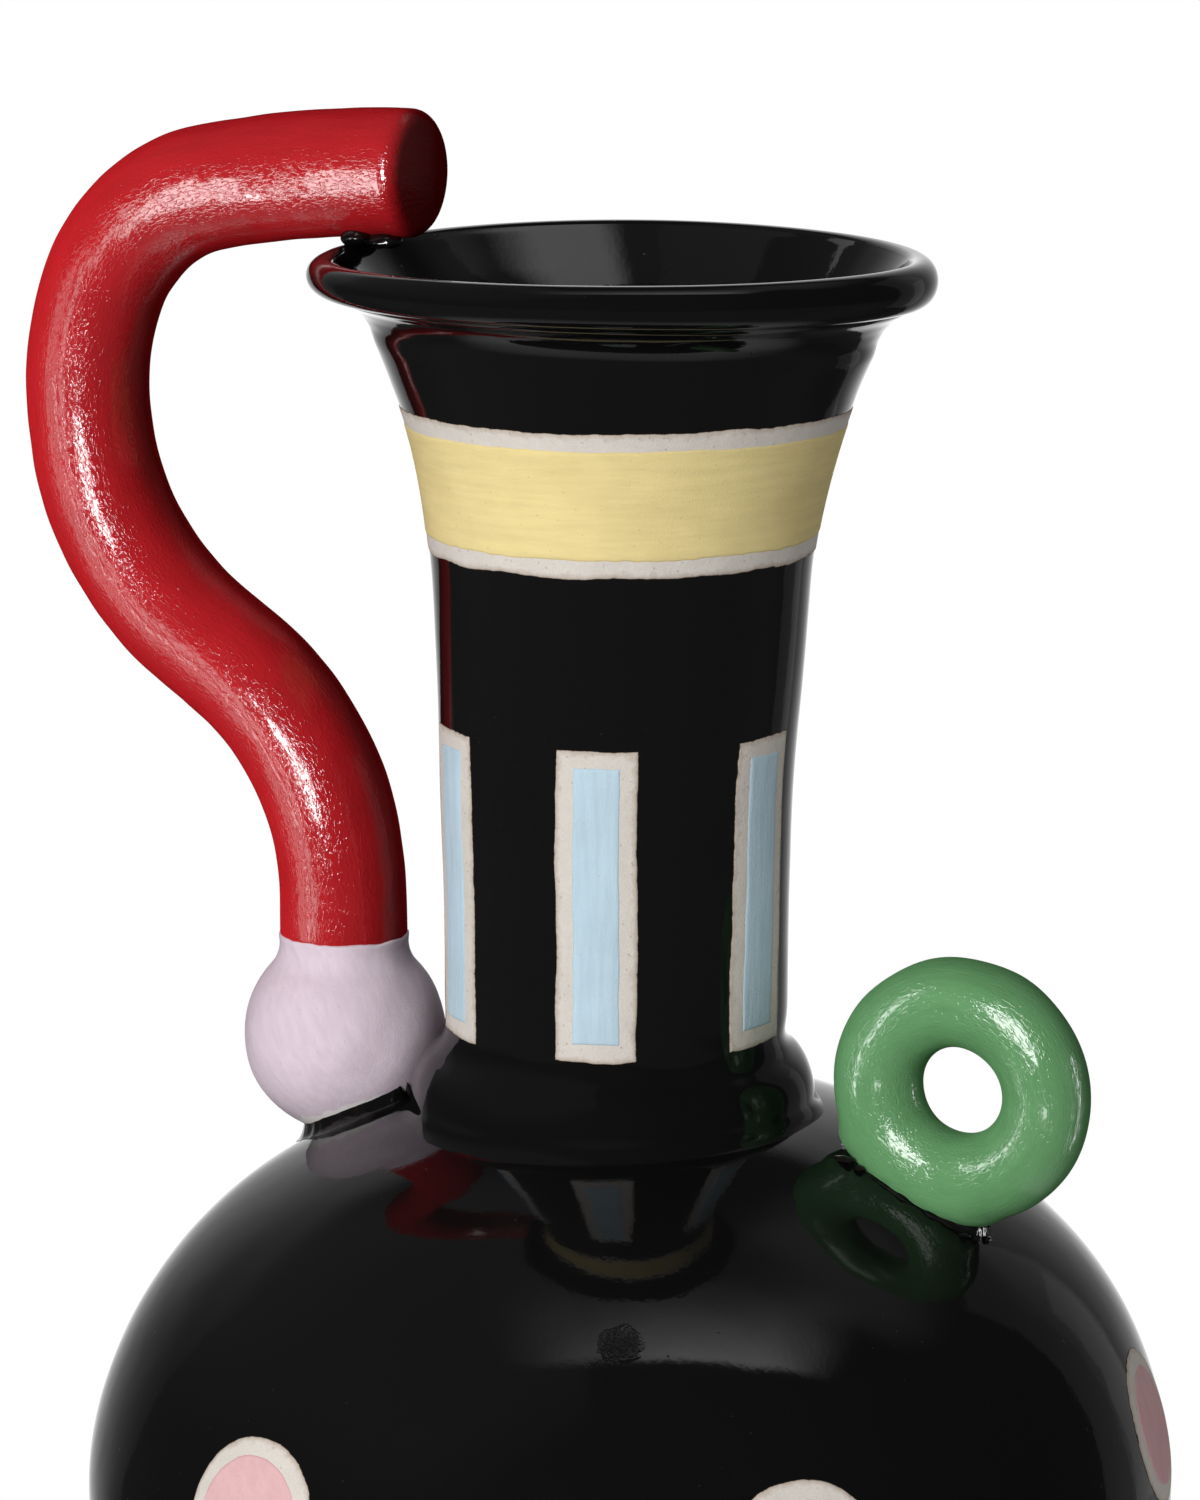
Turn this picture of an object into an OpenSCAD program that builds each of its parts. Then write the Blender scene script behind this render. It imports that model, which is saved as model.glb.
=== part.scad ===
// Hand-built ceramic vase: belly, tall flaring neck with a rolled lip, an S-shaped handle on a ball,
// and a ring that stands on the shoulder. Millimetres, +Z up, origin at the middle of the foot.

/* [Foot and floor] */
// Outer radius of the ring that the vase stands on
foot_r = 74; // [60:0.5:90]
// Width of the foot ring's resting face
foot_w = 11; // [7:0.5:18]
// Height of the foot ring
foot_h = 6; // [4:0.5:12]
// Bevel on the foot ring's lower outer edge
foot_bevel = 1.5; // [0.5:0.25:3]
// How far the floor's edge stands out past the foot ring
foot_inset = 3; // [1:0.5:8]
// Thickness of the floor slab
floor_t = 9; // [6:0.5:15]

/* [Belly] */
// Outer radius of the belly at its widest
belly_r = 143; // [125:0.5:160]
// Height of the widest line above the resting face
belly_z = 185; // [150:1:220]
// Thickness of the belly's wall
belly_t = 7.5; // [5:0.25:11]
// Bend radius of the wall just above the widest line
side_bend_r = 96; // [80:0.5:110]
// How much higher the shoulder's round reaches than that bend
crown_rise = 14; // [9:0.5:22]

/* [Neck] */
// Outer radius of the neck at its narrowest
neck_r = 44.6; // [38:0.2:50]
// Thickness of the neck's wall
neck_t = 6.5; // [4.5:0.25:9]
// Height of the narrowest line above the shoulder crease
waist_h = 23; // [15:0.5:40]
// Height of the slow flare above the narrowest line
slow_flare_h = 115; // [90:0.5:140]
// Bend radius of the slow flare
slow_bend_r = 1700; // [1200:10:2500]
// Height of the quick flare under the lip
quick_flare_h = 64.4; // [45:0.2:80]
// Bend radius of the quick flare
quick_bend_r = 183; // [150:1:240]
// Radius of the coil pressed round the foot of the neck, at its widest
collar_r = 53; // [50.5:0.25:58]
// Bend radius of the coil's outside
collar_bend_r = 20; // [16:0.5:28]
// Height of the coil's widest line above the shoulder crease
collar_lift = 1.5; // [0.5:0.25:4]

/* [Lip] */
// Radius of the circle along the middle of the rolled lip
lip_r = 75.5; // [72:0.5:86]
// Radius of the roll
lip_roll_r = 4.7; // [3.5:0.1:6]
// How far the lip's web is set inside the roll's skin
web_sink = 0.4; // [0.2:0.1:1.5]
// Height of the roll's middle above the top of the neck's wall
lip_rise = 15.5; // [12:0.5:22]

/* [Handle] */
// Radius of the handle's rod
rod_r = 16.4; // [13:0.2:19]
// Reach of the rod's middle line from the vase's axis
handle_reach = 160; // [135:1:185]
// Height of the rod's straight foot above the middle of the ball
handle_foot_h = 37; // [28:0.5:50]
// Bend radius above the outermost point
handle_side_bend_r = 76; // [60:1:95]
// Turn of that bend in degrees
handle_side_turn = 25; // [10:1:40]
// Bend radius that brings the rod level over the rim
handle_top_bend_r = 47; // [36:1:56]
// How far the rod's end reaches in past the middle of the lip
tip_over = 15.5; // [8:0.5:30]
// Rounding of the edge of the rod's end
tip_round_r = 4.5; // [2:0.25:8]
// Gap between the lip and the rod that the slip fills
rim_gap = 1; // [0.6:0.1:3]
// Radius of the slip blob between the rod and the lip
rim_slip_r = 9; // [7:0.25:12]

/* [Ball] */
// Radius of the ball under the handle
ball_r = 26; // [22:0.25:30]
// Clearance between the ball and the coil round the neck
ball_gap = 3.5; // [1:0.25:12]
// How much of the ball is pressed flat
ball_flat = 6; // [4:0.25:9]
// Thickness of the slip under the ball
ball_slip_t = 2; // [1:0.25:4]
// How far that slip stands up round the ball
ball_slip_h = 2.8; // [2.2:0.1:6]

/* [Ring] */
// Radius of the circle along the middle of the ring
ring_r = 23.4; // [20:0.2:28]
// Radius of the ring's rod
ring_rod_r = 11.2; // [8:0.2:13]
// Clearance between the ring and the coil round the neck
ring_gap = 5.8; // [2:0.2:20]
// How much of the ring is pressed flat
ring_flat = 7; // [4:0.25:9]
// Thickness of the slip under the ring
ring_slip_t = 1.2; // [0.8:0.1:2]
// How far that slip stands up round the ring
ring_slip_h = 3.4; // [2.4:0.1:6]

/* [Slip] */
// How far each slip pad laps out past the piece that it holds
slip_lap = 2.5; // [1:0.25:5]

/* [Painted areas] */
// Thickness of the underglaze coats
coat_t = 0.5; // [0.3:0.05:1]
// Thickness of the clay left round them
margin_t = 0.3; // [0.2:0.05:0.8]
// Width of the clay left round them
margin_w = 4.5; // [2:0.25:6]
// Length up the neck's wall of the yellow band
band_w = 29.5; // [18:0.5:34]
// Length up the wall from the start of the quick flare to the yellow band
band_rise = 13.5; // [7:0.5:20]
// Number of stripes on the lower neck
stripe_count = 6; // [3:1:8]
// Width of a stripe
stripe_w = 12.4; // [6:0.2:16]
// Length of a stripe up the neck's wall
stripe_h = 72; // [40:1:90]
// Clear wall between the coil round the neck and the clay under a stripe
stripe_gap = 5; // [2:0.5:10]
// Direction of the first stripe, in degrees from +X
stripe_turn = -71; // [-90:1:90]
// Number of dots round the belly
dot_count = 6; // [3:1:8]
// Radius of a dot
dot_r = 16; // [10:0.5:18]
// Slope of the belly's face at the middle of a dot, in degrees
dot_slope = 15; // [14:0.5:35]
// Direction of the first dot, in degrees from +X
dot_turn = -107; // [-150:1:150]

/* [Hidden] */
$fn = 96;

// Degrees of turn for a length along a bend of radius r
function turn_of(length, r) = length / r * 180 / PI;
// Number of sides that keeps a wide bend of radius r smooth
function sides_of(r) = max($fn, 4 * ceil(r / 2));
// Point at angle a on the circle of radius r round c
function on_circle(c, r, a) = c + r * [cos(a), sin(a)];
// Where the line from p touches the circle of radius r round c, on its right (-1) or left (+1) side
function touch(p, c, r, side) =
    let (gap = norm(c - p), a = atan2(c[1] - p[1], c[0] - p[0]) + side * asin(r / gap))
    on_circle(p, sqrt(gap * gap - r * r), a);

// Lower belly: one bend from the floor's edge up to the widest line
floor_r = foot_r + foot_inset;
floor_top = foot_h + floor_t;
low_rise = belly_z - foot_h;
low_spread = belly_r - floor_r;
low_bend_r = (low_rise * low_rise + low_spread * low_spread) / (2 * low_spread);
low_c = [belly_r - low_bend_r, belly_z];

// Upper belly: the side bend, then the shoulder, whose round is centred on the axis
side_c = [belly_r - side_bend_r, belly_z];
crown_h = side_bend_r + crown_rise;
crown_r = (side_c[0] * side_c[0] + crown_h * crown_h - side_bend_r * side_bend_r) / (2 * crown_rise);
crown_z = belly_z + crown_h - crown_r;
crown_c = [0, crown_z];
shoulder_a = atan2(belly_z - crown_z, side_c[0]);

// Neck: a slow bend, then a quicker one that follows on from it
mouth_r = neck_r - neck_t;
crease_z = crown_z + sqrt(crown_r * crown_r - collar_r * collar_r);
waist_z = crease_z + waist_h;
slow_a = asin(slow_flare_h / slow_bend_r);
slow_c = [neck_r + slow_bend_r, waist_z];
quick_a = asin(sin(slow_a) + quick_flare_h / quick_bend_r);
quick_c = on_circle(slow_c, slow_bend_r - quick_bend_r, 180 - slow_a);
neck_top_out = on_circle(quick_c, quick_bend_r, 180 - quick_a);
neck_top_in = on_circle(quick_c, quick_bend_r + neck_t, 180 - quick_a);
lip_c = [lip_r, neck_top_out[1] + lip_rise];
collar_c = [collar_r - collar_bend_r, crease_z + collar_lift];
collar_lap = neck_r - collar_c[0];
collar_top = collar_c[1] + sqrt(collar_bend_r * collar_bend_r - collar_lap * collar_lap);

// Ball and ring: both stand square to the shoulder's round
ball_x = collar_r + ball_gap + ball_r;
ball_lift = crown_r + ball_slip_t + ball_r - ball_flat;
ball_tilt = asin(ball_x / ball_lift);
ball_z = crown_z + ball_lift * cos(ball_tilt);
ball_foot_r = sqrt(ball_r * ball_r - (ball_r - ball_flat) * (ball_r - ball_flat));
ring_out_r = ring_r + ring_rod_r;
ring_x = collar_r + ring_gap + ring_out_r;
ring_lift = crown_r + ring_slip_t + ring_out_r - ring_flat;
ring_tilt = asin(ring_x / ring_lift);
ring_foot_l = sqrt(ring_out_r * ring_out_r - (ring_out_r - ring_flat) * (ring_out_r - ring_flat));
ring_foot_w = sqrt(ring_rod_r * ring_rod_r - (ring_rod_r - ring_flat) * (ring_rod_r - ring_flat));

// Handle, in the upright plane through the axis: points as [distance out from the axis, height].
// Its two lower bends have the same radius and lean, found from the way across and the way up.
tip_z = lip_c[1] + lip_roll_r + rim_gap + rod_r;
tip_out = lip_r - tip_over;
side_rise = handle_side_bend_r * sin(handle_side_turn);
side_z = tip_z - side_rise - handle_top_bend_r * (1 - sin(handle_side_turn));
sway_z = ball_z + handle_foot_h;
sway_up = side_z - sway_z;
sway_out = handle_reach - ball_x;
sway_a = 2 * atan(sway_out / sway_up);
sway_r = (sway_up * sway_up + sway_out * sway_out) / (4 * sway_out);
sway_low_c = [ball_x + sway_r, sway_z];
sway_high_c = [handle_reach - sway_r, side_z];
handle_side_c = [handle_reach - handle_side_bend_r, side_z];
handle_top_c = on_circle(handle_side_c, handle_side_bend_r - handle_top_bend_r, handle_side_turn);

// Lengths up the wall from the narrowest line to the lower and upper ends of the stripes
stripe_low = collar_top + stripe_gap + margin_w - waist_z;
stripe_top = stripe_low + stripe_h;

// How much thinner every second stretch of the handle is, and how far it runs into its neighbours, each
// a share of the rod's radius
step_share = 1 / 500;
lap_share = 1 / 30;
rod_step = rod_r * step_share;
rod_lap = rod_r * lap_share;

// Room that a cutting block needs to pass right through any piece
past = 2 * (belly_r + belly_z);

// Stretch of a round wall between two radii and two angles
module arc_wall(c, r_near, r_far, from_a, to_a) {
    intersection() {
        translate(c) difference() {
            circle(r_far, $fn = sides_of(r_far));
            circle(r_near, $fn = sides_of(r_far));
        }
        polygon([c, on_circle(c, 2 * r_far, from_a), on_circle(c, 2 * r_far, (from_a + to_a) / 2),
                 on_circle(c, 2 * r_far, to_a)]);
    }
}

// Ball that the shoulder's face is part of, grown by a clearance
module shoulder_round(grow = 0) {
    translate([0, 0, crown_z]) sphere(crown_r + grow);
}

// Places things square to the shoulder, tilted out from the axis; local Z points outwards
module on_shoulder(tilt) {
    translate([0, 0, crown_z]) rotate([0, tilt, 0]) children();
}

// Rod's bend in the handle's plane, from angle from_a through turn degrees. Every second stretch of the
// rod is thinner by rod_step and runs on by lap at both ends, so that it is seated inside its neighbours.
module rod_bend(c, r, from_a, turn, thin = false) {
    lap = thin ? turn_of(rod_lap, r) : 0;
    translate([c[0], c[1], 0]) rotate(from_a - lap)
        rotate_extrude(angle = turn + 2 * lap) translate([r, 0]) circle(thin ? rod_r - rod_step : rod_r);
}

// Round rod of length l whose far edge is rounded by e
module rounded_rod(r, l, e) {
    rotate_extrude() {
        square([r, l - e]);
        square([r - e, l]);
        translate([r - e, l - e]) circle(e);
    }
}

module ring_shape() {
    difference() {
        on_shoulder(ring_tilt) translate([0, 0, ring_lift]) rotate([90, 0, 0])
            rotate_extrude() translate([ring_r, 0]) circle(ring_rod_r);
        shoulder_round(ring_slip_t);
    }
}

module ball_shape() {
    difference() {
        on_shoulder(-ball_tilt) translate([0, 0, ball_lift]) sphere(ball_r);
        shoulder_round(ball_slip_t);
    }
}

// Stands up on the -X side what is drawn flat with X outwards and Y up
module in_handle_plane() {
    mirror([1, 0, 0]) rotate([90, 0, 0]) children();
}

// Level end of the rod over the rim, in the handle's plane
module tip_rod() {
    translate([handle_top_c[0], tip_z, 0]) rotate([0, -90, 0])
        rounded_rod(rod_r, handle_top_c[0] - tip_out, tip_round_r);
}

module handle_shape() {
    difference() {
        in_handle_plane() {
            translate([ball_x, ball_z, 0]) rotate([-90, 0, 0])
                cylinder(r = rod_r - rod_step, h = handle_foot_h + rod_lap);
            rod_bend(sway_low_c, sway_r, 180 - sway_a, sway_a);
            rod_bend(sway_high_c, sway_r, -sway_a, sway_a, thin = true);
            rod_bend(handle_side_c, handle_side_bend_r, 0, handle_side_turn);
            rod_bend(handle_top_c, handle_top_bend_r, handle_side_turn, 90 - handle_side_turn, thin = true);
            tip_rod();
        }
        on_shoulder(-ball_tilt) translate([0, 0, ball_lift]) sphere(ball_r);
    }
}

// Roll along the edge of the lip
module lip_roll() {
    translate(lip_c) circle(lip_roll_r);
}

// Flared web between the neck's top and the roll, set a little inside the roll's skin
module lip_web() {
    polygon([neck_top_in, neck_top_out, touch(neck_top_out, lip_c, lip_roll_r - web_sink, -1), lip_c,
             touch(neck_top_in, lip_c, lip_roll_r - web_sink, 1)]);
}

// Skin of thickness t on the neck's quick flare, between two lengths up the wall
module quick_flare_skin(t, from_l, to_l) {
    rotate_extrude()
        arc_wall(quick_c, quick_bend_r - t, quick_bend_r,
                 180 - slow_a - turn_of(to_l, quick_bend_r), 180 - slow_a - turn_of(from_l, quick_bend_r));
}

// Upright stripe of thickness t and width w at each place round the neck, between two lengths up the
// wall from the narrowest line
module neck_stripes(t, w, from_l, to_l) {
    intersection() {
        rotate_extrude()
            arc_wall(slow_c, slow_bend_r - t, slow_bend_r,
                     180 - turn_of(to_l, slow_bend_r), 180 - turn_of(from_l, slow_bend_r));
        for (i = [0:stripe_count - 1])
            rotate(stripe_turn + i * 360 / stripe_count)
                translate([0, -w / 2, 0]) cube([past, w, past]);
    }
}

// Round spot of thickness t and radius r at each place round the belly
module belly_dots(t, r) {
    reach = 2 * turn_of(r, side_bend_r);
    intersection() {
        rotate_extrude()
            arc_wall(side_c, side_bend_r, side_bend_r + t, dot_slope - reach, dot_slope + reach);
        for (i = [0:dot_count - 1])
            rotate(dot_turn + i * 360 / dot_count)
                translate([side_c[0], 0, side_c[1]]) rotate([0, 90 - dot_slope, 0])
                    cylinder(r = r, h = 2 * side_bend_r);
    }
}

module foot_ring() {
    color("#cfc4b8") rotate_extrude()
        polygon([[foot_r - foot_w, 0], [foot_r - foot_bevel, 0], [foot_r, foot_bevel], [foot_r, foot_h],
                 [foot_r - foot_w, foot_h]]);
}

module floor_slab() {
    color("#171717") rotate_extrude() intersection() {
        translate(low_c) circle(low_bend_r);
        translate([0, foot_h]) square([belly_r, floor_t]);
    }
}

module lower_belly() {
    color("#171717") rotate_extrude() intersection() {
        arc_wall(low_c, low_bend_r - belly_t, low_bend_r, -90, 0);
        translate([0, floor_top]) square([belly_r, belly_z - floor_top]);
    }
}

module upper_belly() {
    color("#171717") rotate_extrude()
        arc_wall(side_c, side_bend_r - belly_t, side_bend_r, 0, shoulder_a);
}

module shoulder() {
    color("#171717") rotate_extrude() difference() {
        arc_wall(crown_c, crown_r - belly_t, crown_r, shoulder_a, 90);
        square([mouth_r, past]);
    }
}

module neck() {
    color("#171717") difference() {
        rotate_extrude()
            arc_wall(slow_c, slow_bend_r, slow_bend_r + neck_t, 180 - slow_a, 180 + slow_a);
        shoulder_round();
    }
}

module neck_flare() {
    color("#171717") rotate_extrude()
        arc_wall(quick_c, quick_bend_r, quick_bend_r + neck_t, 180 - quick_a, 180 - slow_a);
}

module neck_collar() {
    color("#171717") difference() {
        rotate_extrude() intersection() {
            translate(collar_c) circle(collar_bend_r);
            translate([neck_r, 0]) square([collar_r, past]);
        }
        shoulder_round();
    }
}

module rolled_lip() {
    color("#171717") rotate_extrude() {
        lip_roll();
        lip_web();
    }
}

module handle() {
    color("#b51d22") handle_shape();
}

module handle_ball() {
    color("#d3c3cf") ball_shape();
}

module ball_slip() {
    color("#0d0d0d") difference() {
        intersection() {
            shoulder_round(ball_slip_h);
            on_shoulder(-ball_tilt) cylinder(r = ball_foot_r + slip_lap, h = ball_lift);
        }
        shoulder_round();
        ball_shape();
    }
}

module rim_slip() {
    color("#0d0d0d") difference() {
        translate([-lip_r, 0, lip_c[1] + lip_roll_r + rim_gap / 2]) sphere(rim_slip_r);
        in_handle_plane() tip_rod();
        rotate_extrude() lip_roll();
        rotate_extrude() lip_web();
    }
}

module ring() {
    color("#4f9a58") ring_shape();
}

module ring_slip() {
    half_l = ring_foot_l + slip_lap;
    half_w = ring_foot_w + slip_lap;
    color("#0d0d0d") difference() {
        intersection() {
            shoulder_round(ring_slip_h);
            on_shoulder(ring_tilt) {
                for (end = [-1, 1])
                    translate([end * (half_l - half_w), 0, 0]) cylinder(r = half_w, h = ring_lift);
                translate([half_w - half_l, -half_w, 0])
                    cube([2 * (half_l - half_w), 2 * half_w, ring_lift]);
            }
        }
        shoulder_round();
        ring_shape();
    }
}

module clay_margins() {
    color("#ddd2c8") {
        quick_flare_skin(margin_t, band_rise - margin_w, band_rise);
        quick_flare_skin(margin_t, band_rise + band_w, band_rise + band_w + margin_w);
        difference() {
            neck_stripes(margin_t, stripe_w + 2 * margin_w, stripe_low - margin_w, stripe_top + margin_w);
            neck_stripes(coat_t, stripe_w, stripe_low, stripe_top);
        }
        difference() {
            belly_dots(margin_t, dot_r + margin_w);
            belly_dots(coat_t, dot_r);
        }
    }
}

module yellow_band() {
    color("#e8d98c") quick_flare_skin(coat_t, band_rise, band_rise + band_w);
}

module blue_stripes() {
    color("#bcdcec") neck_stripes(coat_t, stripe_w, stripe_low, stripe_top);
}

module pink_dots() {
    color("#e9a6ab") belly_dots(coat_t, dot_r);
}

foot_ring();
floor_slab();
lower_belly();
upper_belly();
shoulder();
neck_collar();
neck();
neck_flare();
rolled_lip();
handle();
handle_ball();
ball_slip();
rim_slip();
ring();
ring_slip();
clay_margins();
yellow_band();
blue_stripes();
pink_dots();
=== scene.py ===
import bpy
import numpy as np
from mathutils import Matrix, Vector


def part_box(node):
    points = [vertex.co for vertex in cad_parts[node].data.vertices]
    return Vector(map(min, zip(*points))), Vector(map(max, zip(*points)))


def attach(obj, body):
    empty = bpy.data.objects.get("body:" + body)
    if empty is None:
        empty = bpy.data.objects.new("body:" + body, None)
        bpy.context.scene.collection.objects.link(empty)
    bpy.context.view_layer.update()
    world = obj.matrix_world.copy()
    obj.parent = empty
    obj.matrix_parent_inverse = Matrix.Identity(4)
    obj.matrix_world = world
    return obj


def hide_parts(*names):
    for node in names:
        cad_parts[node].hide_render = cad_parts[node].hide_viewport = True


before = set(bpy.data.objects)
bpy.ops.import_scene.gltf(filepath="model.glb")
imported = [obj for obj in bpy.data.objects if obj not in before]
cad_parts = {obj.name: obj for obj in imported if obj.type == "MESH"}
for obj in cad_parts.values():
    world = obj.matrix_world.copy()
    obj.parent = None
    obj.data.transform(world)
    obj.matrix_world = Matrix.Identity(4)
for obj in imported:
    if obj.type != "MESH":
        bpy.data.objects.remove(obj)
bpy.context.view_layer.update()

# Camera. It stands a little higher than the mouth and looks slightly down on the vase, turned so that
# the handle is on the left and the ring on the right. The belly runs out of the picture at the bottom.
camera_turn = np.radians(26.0)
camera_pitch = np.radians(11.6)
camera_distance = 1.286
camera_height = 0.6455
camera_lens = 122.16
camera_sensor = 36.0
axis_offset = 0.0058

toward_camera = np.array([np.sin(camera_turn), -np.cos(camera_turn), 0.0])
across = np.array([np.cos(camera_turn), np.sin(camera_turn), 0.0])
upward = np.array([0.0, 0.0, 1.0])
lens = bpy.data.cameras.new("camera")
lens.sensor_width = camera_sensor
lens.lens = camera_lens
camera = bpy.data.objects.new("camera", lens)
camera.location = camera_distance * toward_camera - axis_offset * across + camera_height * upward
camera.rotation_euler = (np.pi / 2 - camera_pitch, 0.0, camera_turn)
bpy.context.scene.collection.objects.link(camera)
bpy.context.scene.camera = camera
bpy.context.scene.view_settings.view_transform = "Standard"

# Foot ring. Bare pale clay, turned on the wheel with its edges taken off; the vase stands on it.
# It is joined to the underside of the floor before firing. Shapes are worked out in millimetres.
MM = 0.001
SIDES = 288
foot_w = 11.0
foot_bevel = 1.5
foot_sink = 0.4
foot_points = 72
foot_wobble = 0.15
foot_wobble_length = 45.0
far_from_edge = 9.0
clay_colour = (0.68, 0.63, 0.575)
clay_stain = (0.36, 0.27, 0.2)
clay_scorch = (0.02, 0.016, 0.013)


def box_mm(name):
    """Lowest and highest corners of a CAD node, in millimetres."""
    return np.array(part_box(name), dtype=float) / MM


def arc(centre, radius, start, end, step=0.6):
    """Points on a circle from the start angle to the end angle (degrees), about one step apart."""
    count = max(3, int(abs(np.radians(end - start)) * radius / step) + 1)
    angle = np.radians(np.linspace(start, end, count))
    return np.stack([centre[0] + radius * np.cos(angle), centre[1] + radius * np.sin(angle)], axis=1)


def even(line, count):
    """The same line with its points at equal distances along it."""
    line = np.asarray(line, dtype=float)
    reach = np.concatenate([[0.0], np.cumsum(np.linalg.norm(np.diff(line, axis=0), axis=1))])
    places = np.linspace(0.0, reach[-1], count)
    return np.stack([np.interp(places, reach, line[:, axis]) for axis in range(line.shape[1])], axis=1)


def full_turn(count):
    """So many angles evenly round a circle, in radians."""
    return np.linspace(0.0, 2.0 * np.pi, count, endpoint=False)


def round_axis(radius, turn, height):
    """Points at a distance from the vertical axis, an angle round it and a height."""
    return np.stack(np.broadcast_arrays(radius * np.cos(turn), radius * np.sin(turn), height), axis=-1)


def lathe(profile, sides=SIDES):
    """A profile of (radius, height) turned about the vertical axis: one row of points per profile point."""
    return round_axis(profile[:, :1], full_turn(sides), profile[:, 1:])


def ripple(points, wavelength, seed, waves=20):
    """Smooth noise about one unit high: a sum of plane waves with seeded directions, lengths and phases."""
    draw = np.random.default_rng(seed)
    direction = draw.normal(size=(waves, 3))
    direction /= np.linalg.norm(direction, axis=1, keepdims=True)
    length = wavelength * draw.uniform(0.75, 1.4, size=(waves, 1))
    phase = draw.uniform(0.0, 2.0 * np.pi, size=waves)
    swing = np.sin(points.reshape(-1, 3) @ (2.0 * np.pi * direction / length).T + phase)
    return (swing.sum(axis=1) / np.sqrt(waves)).reshape(points.shape[:-1])


def closed_rows(rows, ends="poles"):
    """
    Points and blocks of faces of a closed skin over rows of points, each row a closed loop. With poles,
    the first and last rows are shut by a fan to their middle; with a loop, the last row joins the first.
    """
    count, around = rows.shape[:2]
    index = np.arange(count * around).reshape(count, around)
    points = rows.reshape(-1, 3)
    if ends == "loop":
        index = np.concatenate([index, index[:1]])
    low, high = index[:-1], index[1:]
    quads = np.stack([low, np.roll(low, -1, axis=1), np.roll(high, -1, axis=1), high], axis=-1)
    faces = [quads.reshape(-1, 4)]
    if ends == "poles":
        first, last = index[0], index[-1]
        pole = np.full(around, len(points))
        points = np.concatenate([points, [rows[0].mean(axis=0)], [rows[-1].mean(axis=0)]])
        faces.append(np.stack([np.roll(first, -1), first, pole], axis=-1))
        faces.append(np.stack([last, np.roll(last, -1), pole + 1], axis=-1))
    return points, faces


def mesh_piece(name, points, faces):
    """A smooth-shaded object in the scene from points in millimetres and blocks of faces (point numbers)."""
    mesh = bpy.data.meshes.new(name)
    mesh.from_pydata((points * MM).tolist(), [], [face for block in faces for face in block.tolist()])
    mesh.polygons.foreach_set("use_smooth", np.ones(len(mesh.polygons), dtype=bool))
    mesh.update()
    piece = bpy.data.objects.new(name, mesh)
    bpy.context.scene.collection.objects.link(piece)
    return piece


def skin(name, rows, ends="poles"):
    """One object from rows of points, closed by poles or as a loop."""
    return mesh_piece(name, *closed_rows(rows, ends))


def place(piece, material, slot, *nodes):
    """Gives a piece its finish, rides it on the vase and lets it stand for its CAD nodes."""
    piece.data.materials.append(material)
    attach(piece, "root")
    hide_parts(*nodes)


def finish(name, roughness, specular=0.5):
    """A new material with its Principled surface; gives the material, its node tree and that surface."""
    material = bpy.data.materials.new(name)
    material.use_nodes = True
    tree = material.node_tree
    surface = tree.nodes["Principled BSDF"]
    surface.inputs["Roughness"].default_value = roughness
    surface.inputs["Specular IOR Level"].default_value = specular
    return material, tree, surface


def node(tree, kind, inputs=None, **settings):
    """A shader node with its settings, and each input set to a value or joined to another node's output."""
    made = tree.nodes.new("ShaderNode" + kind)
    for key, value in settings.items():
        setattr(made, key, value)
    for key, value in (inputs or {}).items():
        if isinstance(value, bpy.types.NodeSocket):
            tree.links.new(value, made.inputs[key])
        else:
            made.inputs[key].default_value = value
    return made


def wire(tree, surface, inputs):
    """Joins other nodes' outputs to the inputs of a surface."""
    for key, output in inputs.items():
        tree.links.new(output, surface.inputs[key])


def own_place(tree):
    """Place on the piece, in metres."""
    return node(tree, "TexCoord").outputs["Object"]


def edge_distance(tree):
    """Distance from the painted area's edge, in millimetres, as stored by mark_edge."""
    return node(tree, "Attribute", attribute_name="edge").outputs["Fac"]


def noise(tree, coordinates, scale, detail=3.0, roughness=0.55, distortion=0.0):
    """Cloudy noise from 0 to 1 at so many clouds to the metre."""
    settings = {"Vector": coordinates, "Scale": scale, "Detail": detail, "Roughness": roughness}
    return node(tree, "TexNoise", {**settings, "Distortion": distortion}).outputs["Fac"]


def cells(tree, coordinates, scale):
    """Distance from the middle of scattered cells, at so many cells to the metre."""
    return node(tree, "TexVoronoi", {"Vector": coordinates, "Scale": scale}).outputs["Distance"]


def ramp(tree, factor, *stops):
    """Colours blended over a factor, given as (place, colour) stops."""
    made = node(tree, "ValToRGB", {"Fac": factor})
    band = made.color_ramp
    while len(band.elements) < len(stops):
        band.elements.new(0.5)
    for element, (place_on_band, colour) in zip(band.elements, stops):
        element.position = place_on_band
        element.color = (*colour, 1.0)
    return made.outputs["Color"]


def levels(tree, factor, *stops):
    """Greys blended over a factor, given as (place, grey) stops."""
    return ramp(tree, factor, *((place_on_band, (grey, grey, grey)) for place_on_band, grey in stops))


def deeper(colour, share):
    """A colour dimmed to a share of itself."""
    return tuple(share * part for part in colour)


def blend(tree, factor, first, second, how="MIX"):
    """Two colours mixed by a factor."""
    made = node(tree, "Mix", data_type="RGBA", blend_type=how)
    for key, value in ((0, factor), (6, first), (7, second)):
        if isinstance(value, bpy.types.NodeSocket):
            tree.links.new(value, made.inputs[key])
        else:
            made.inputs[key].default_value = value if key == 0 else (*value, 1.0)
    return made.outputs[2]


def maths(tree, operation, *values):
    """One step of arithmetic on numbers or other nodes' outputs."""
    return node(tree, "Math", dict(enumerate(values)), operation=operation).outputs[0]


def bump(tree, height, distance, under=None):
    """Bumps so many metres high from a height of 0 to 1, over other bumps."""
    inputs = {"Height": height, "Distance": distance, "Strength": 1.0}
    if under is not None:
        inputs["Normal"] = under
    return node(tree, "Bump", inputs).outputs["Normal"]


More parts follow.
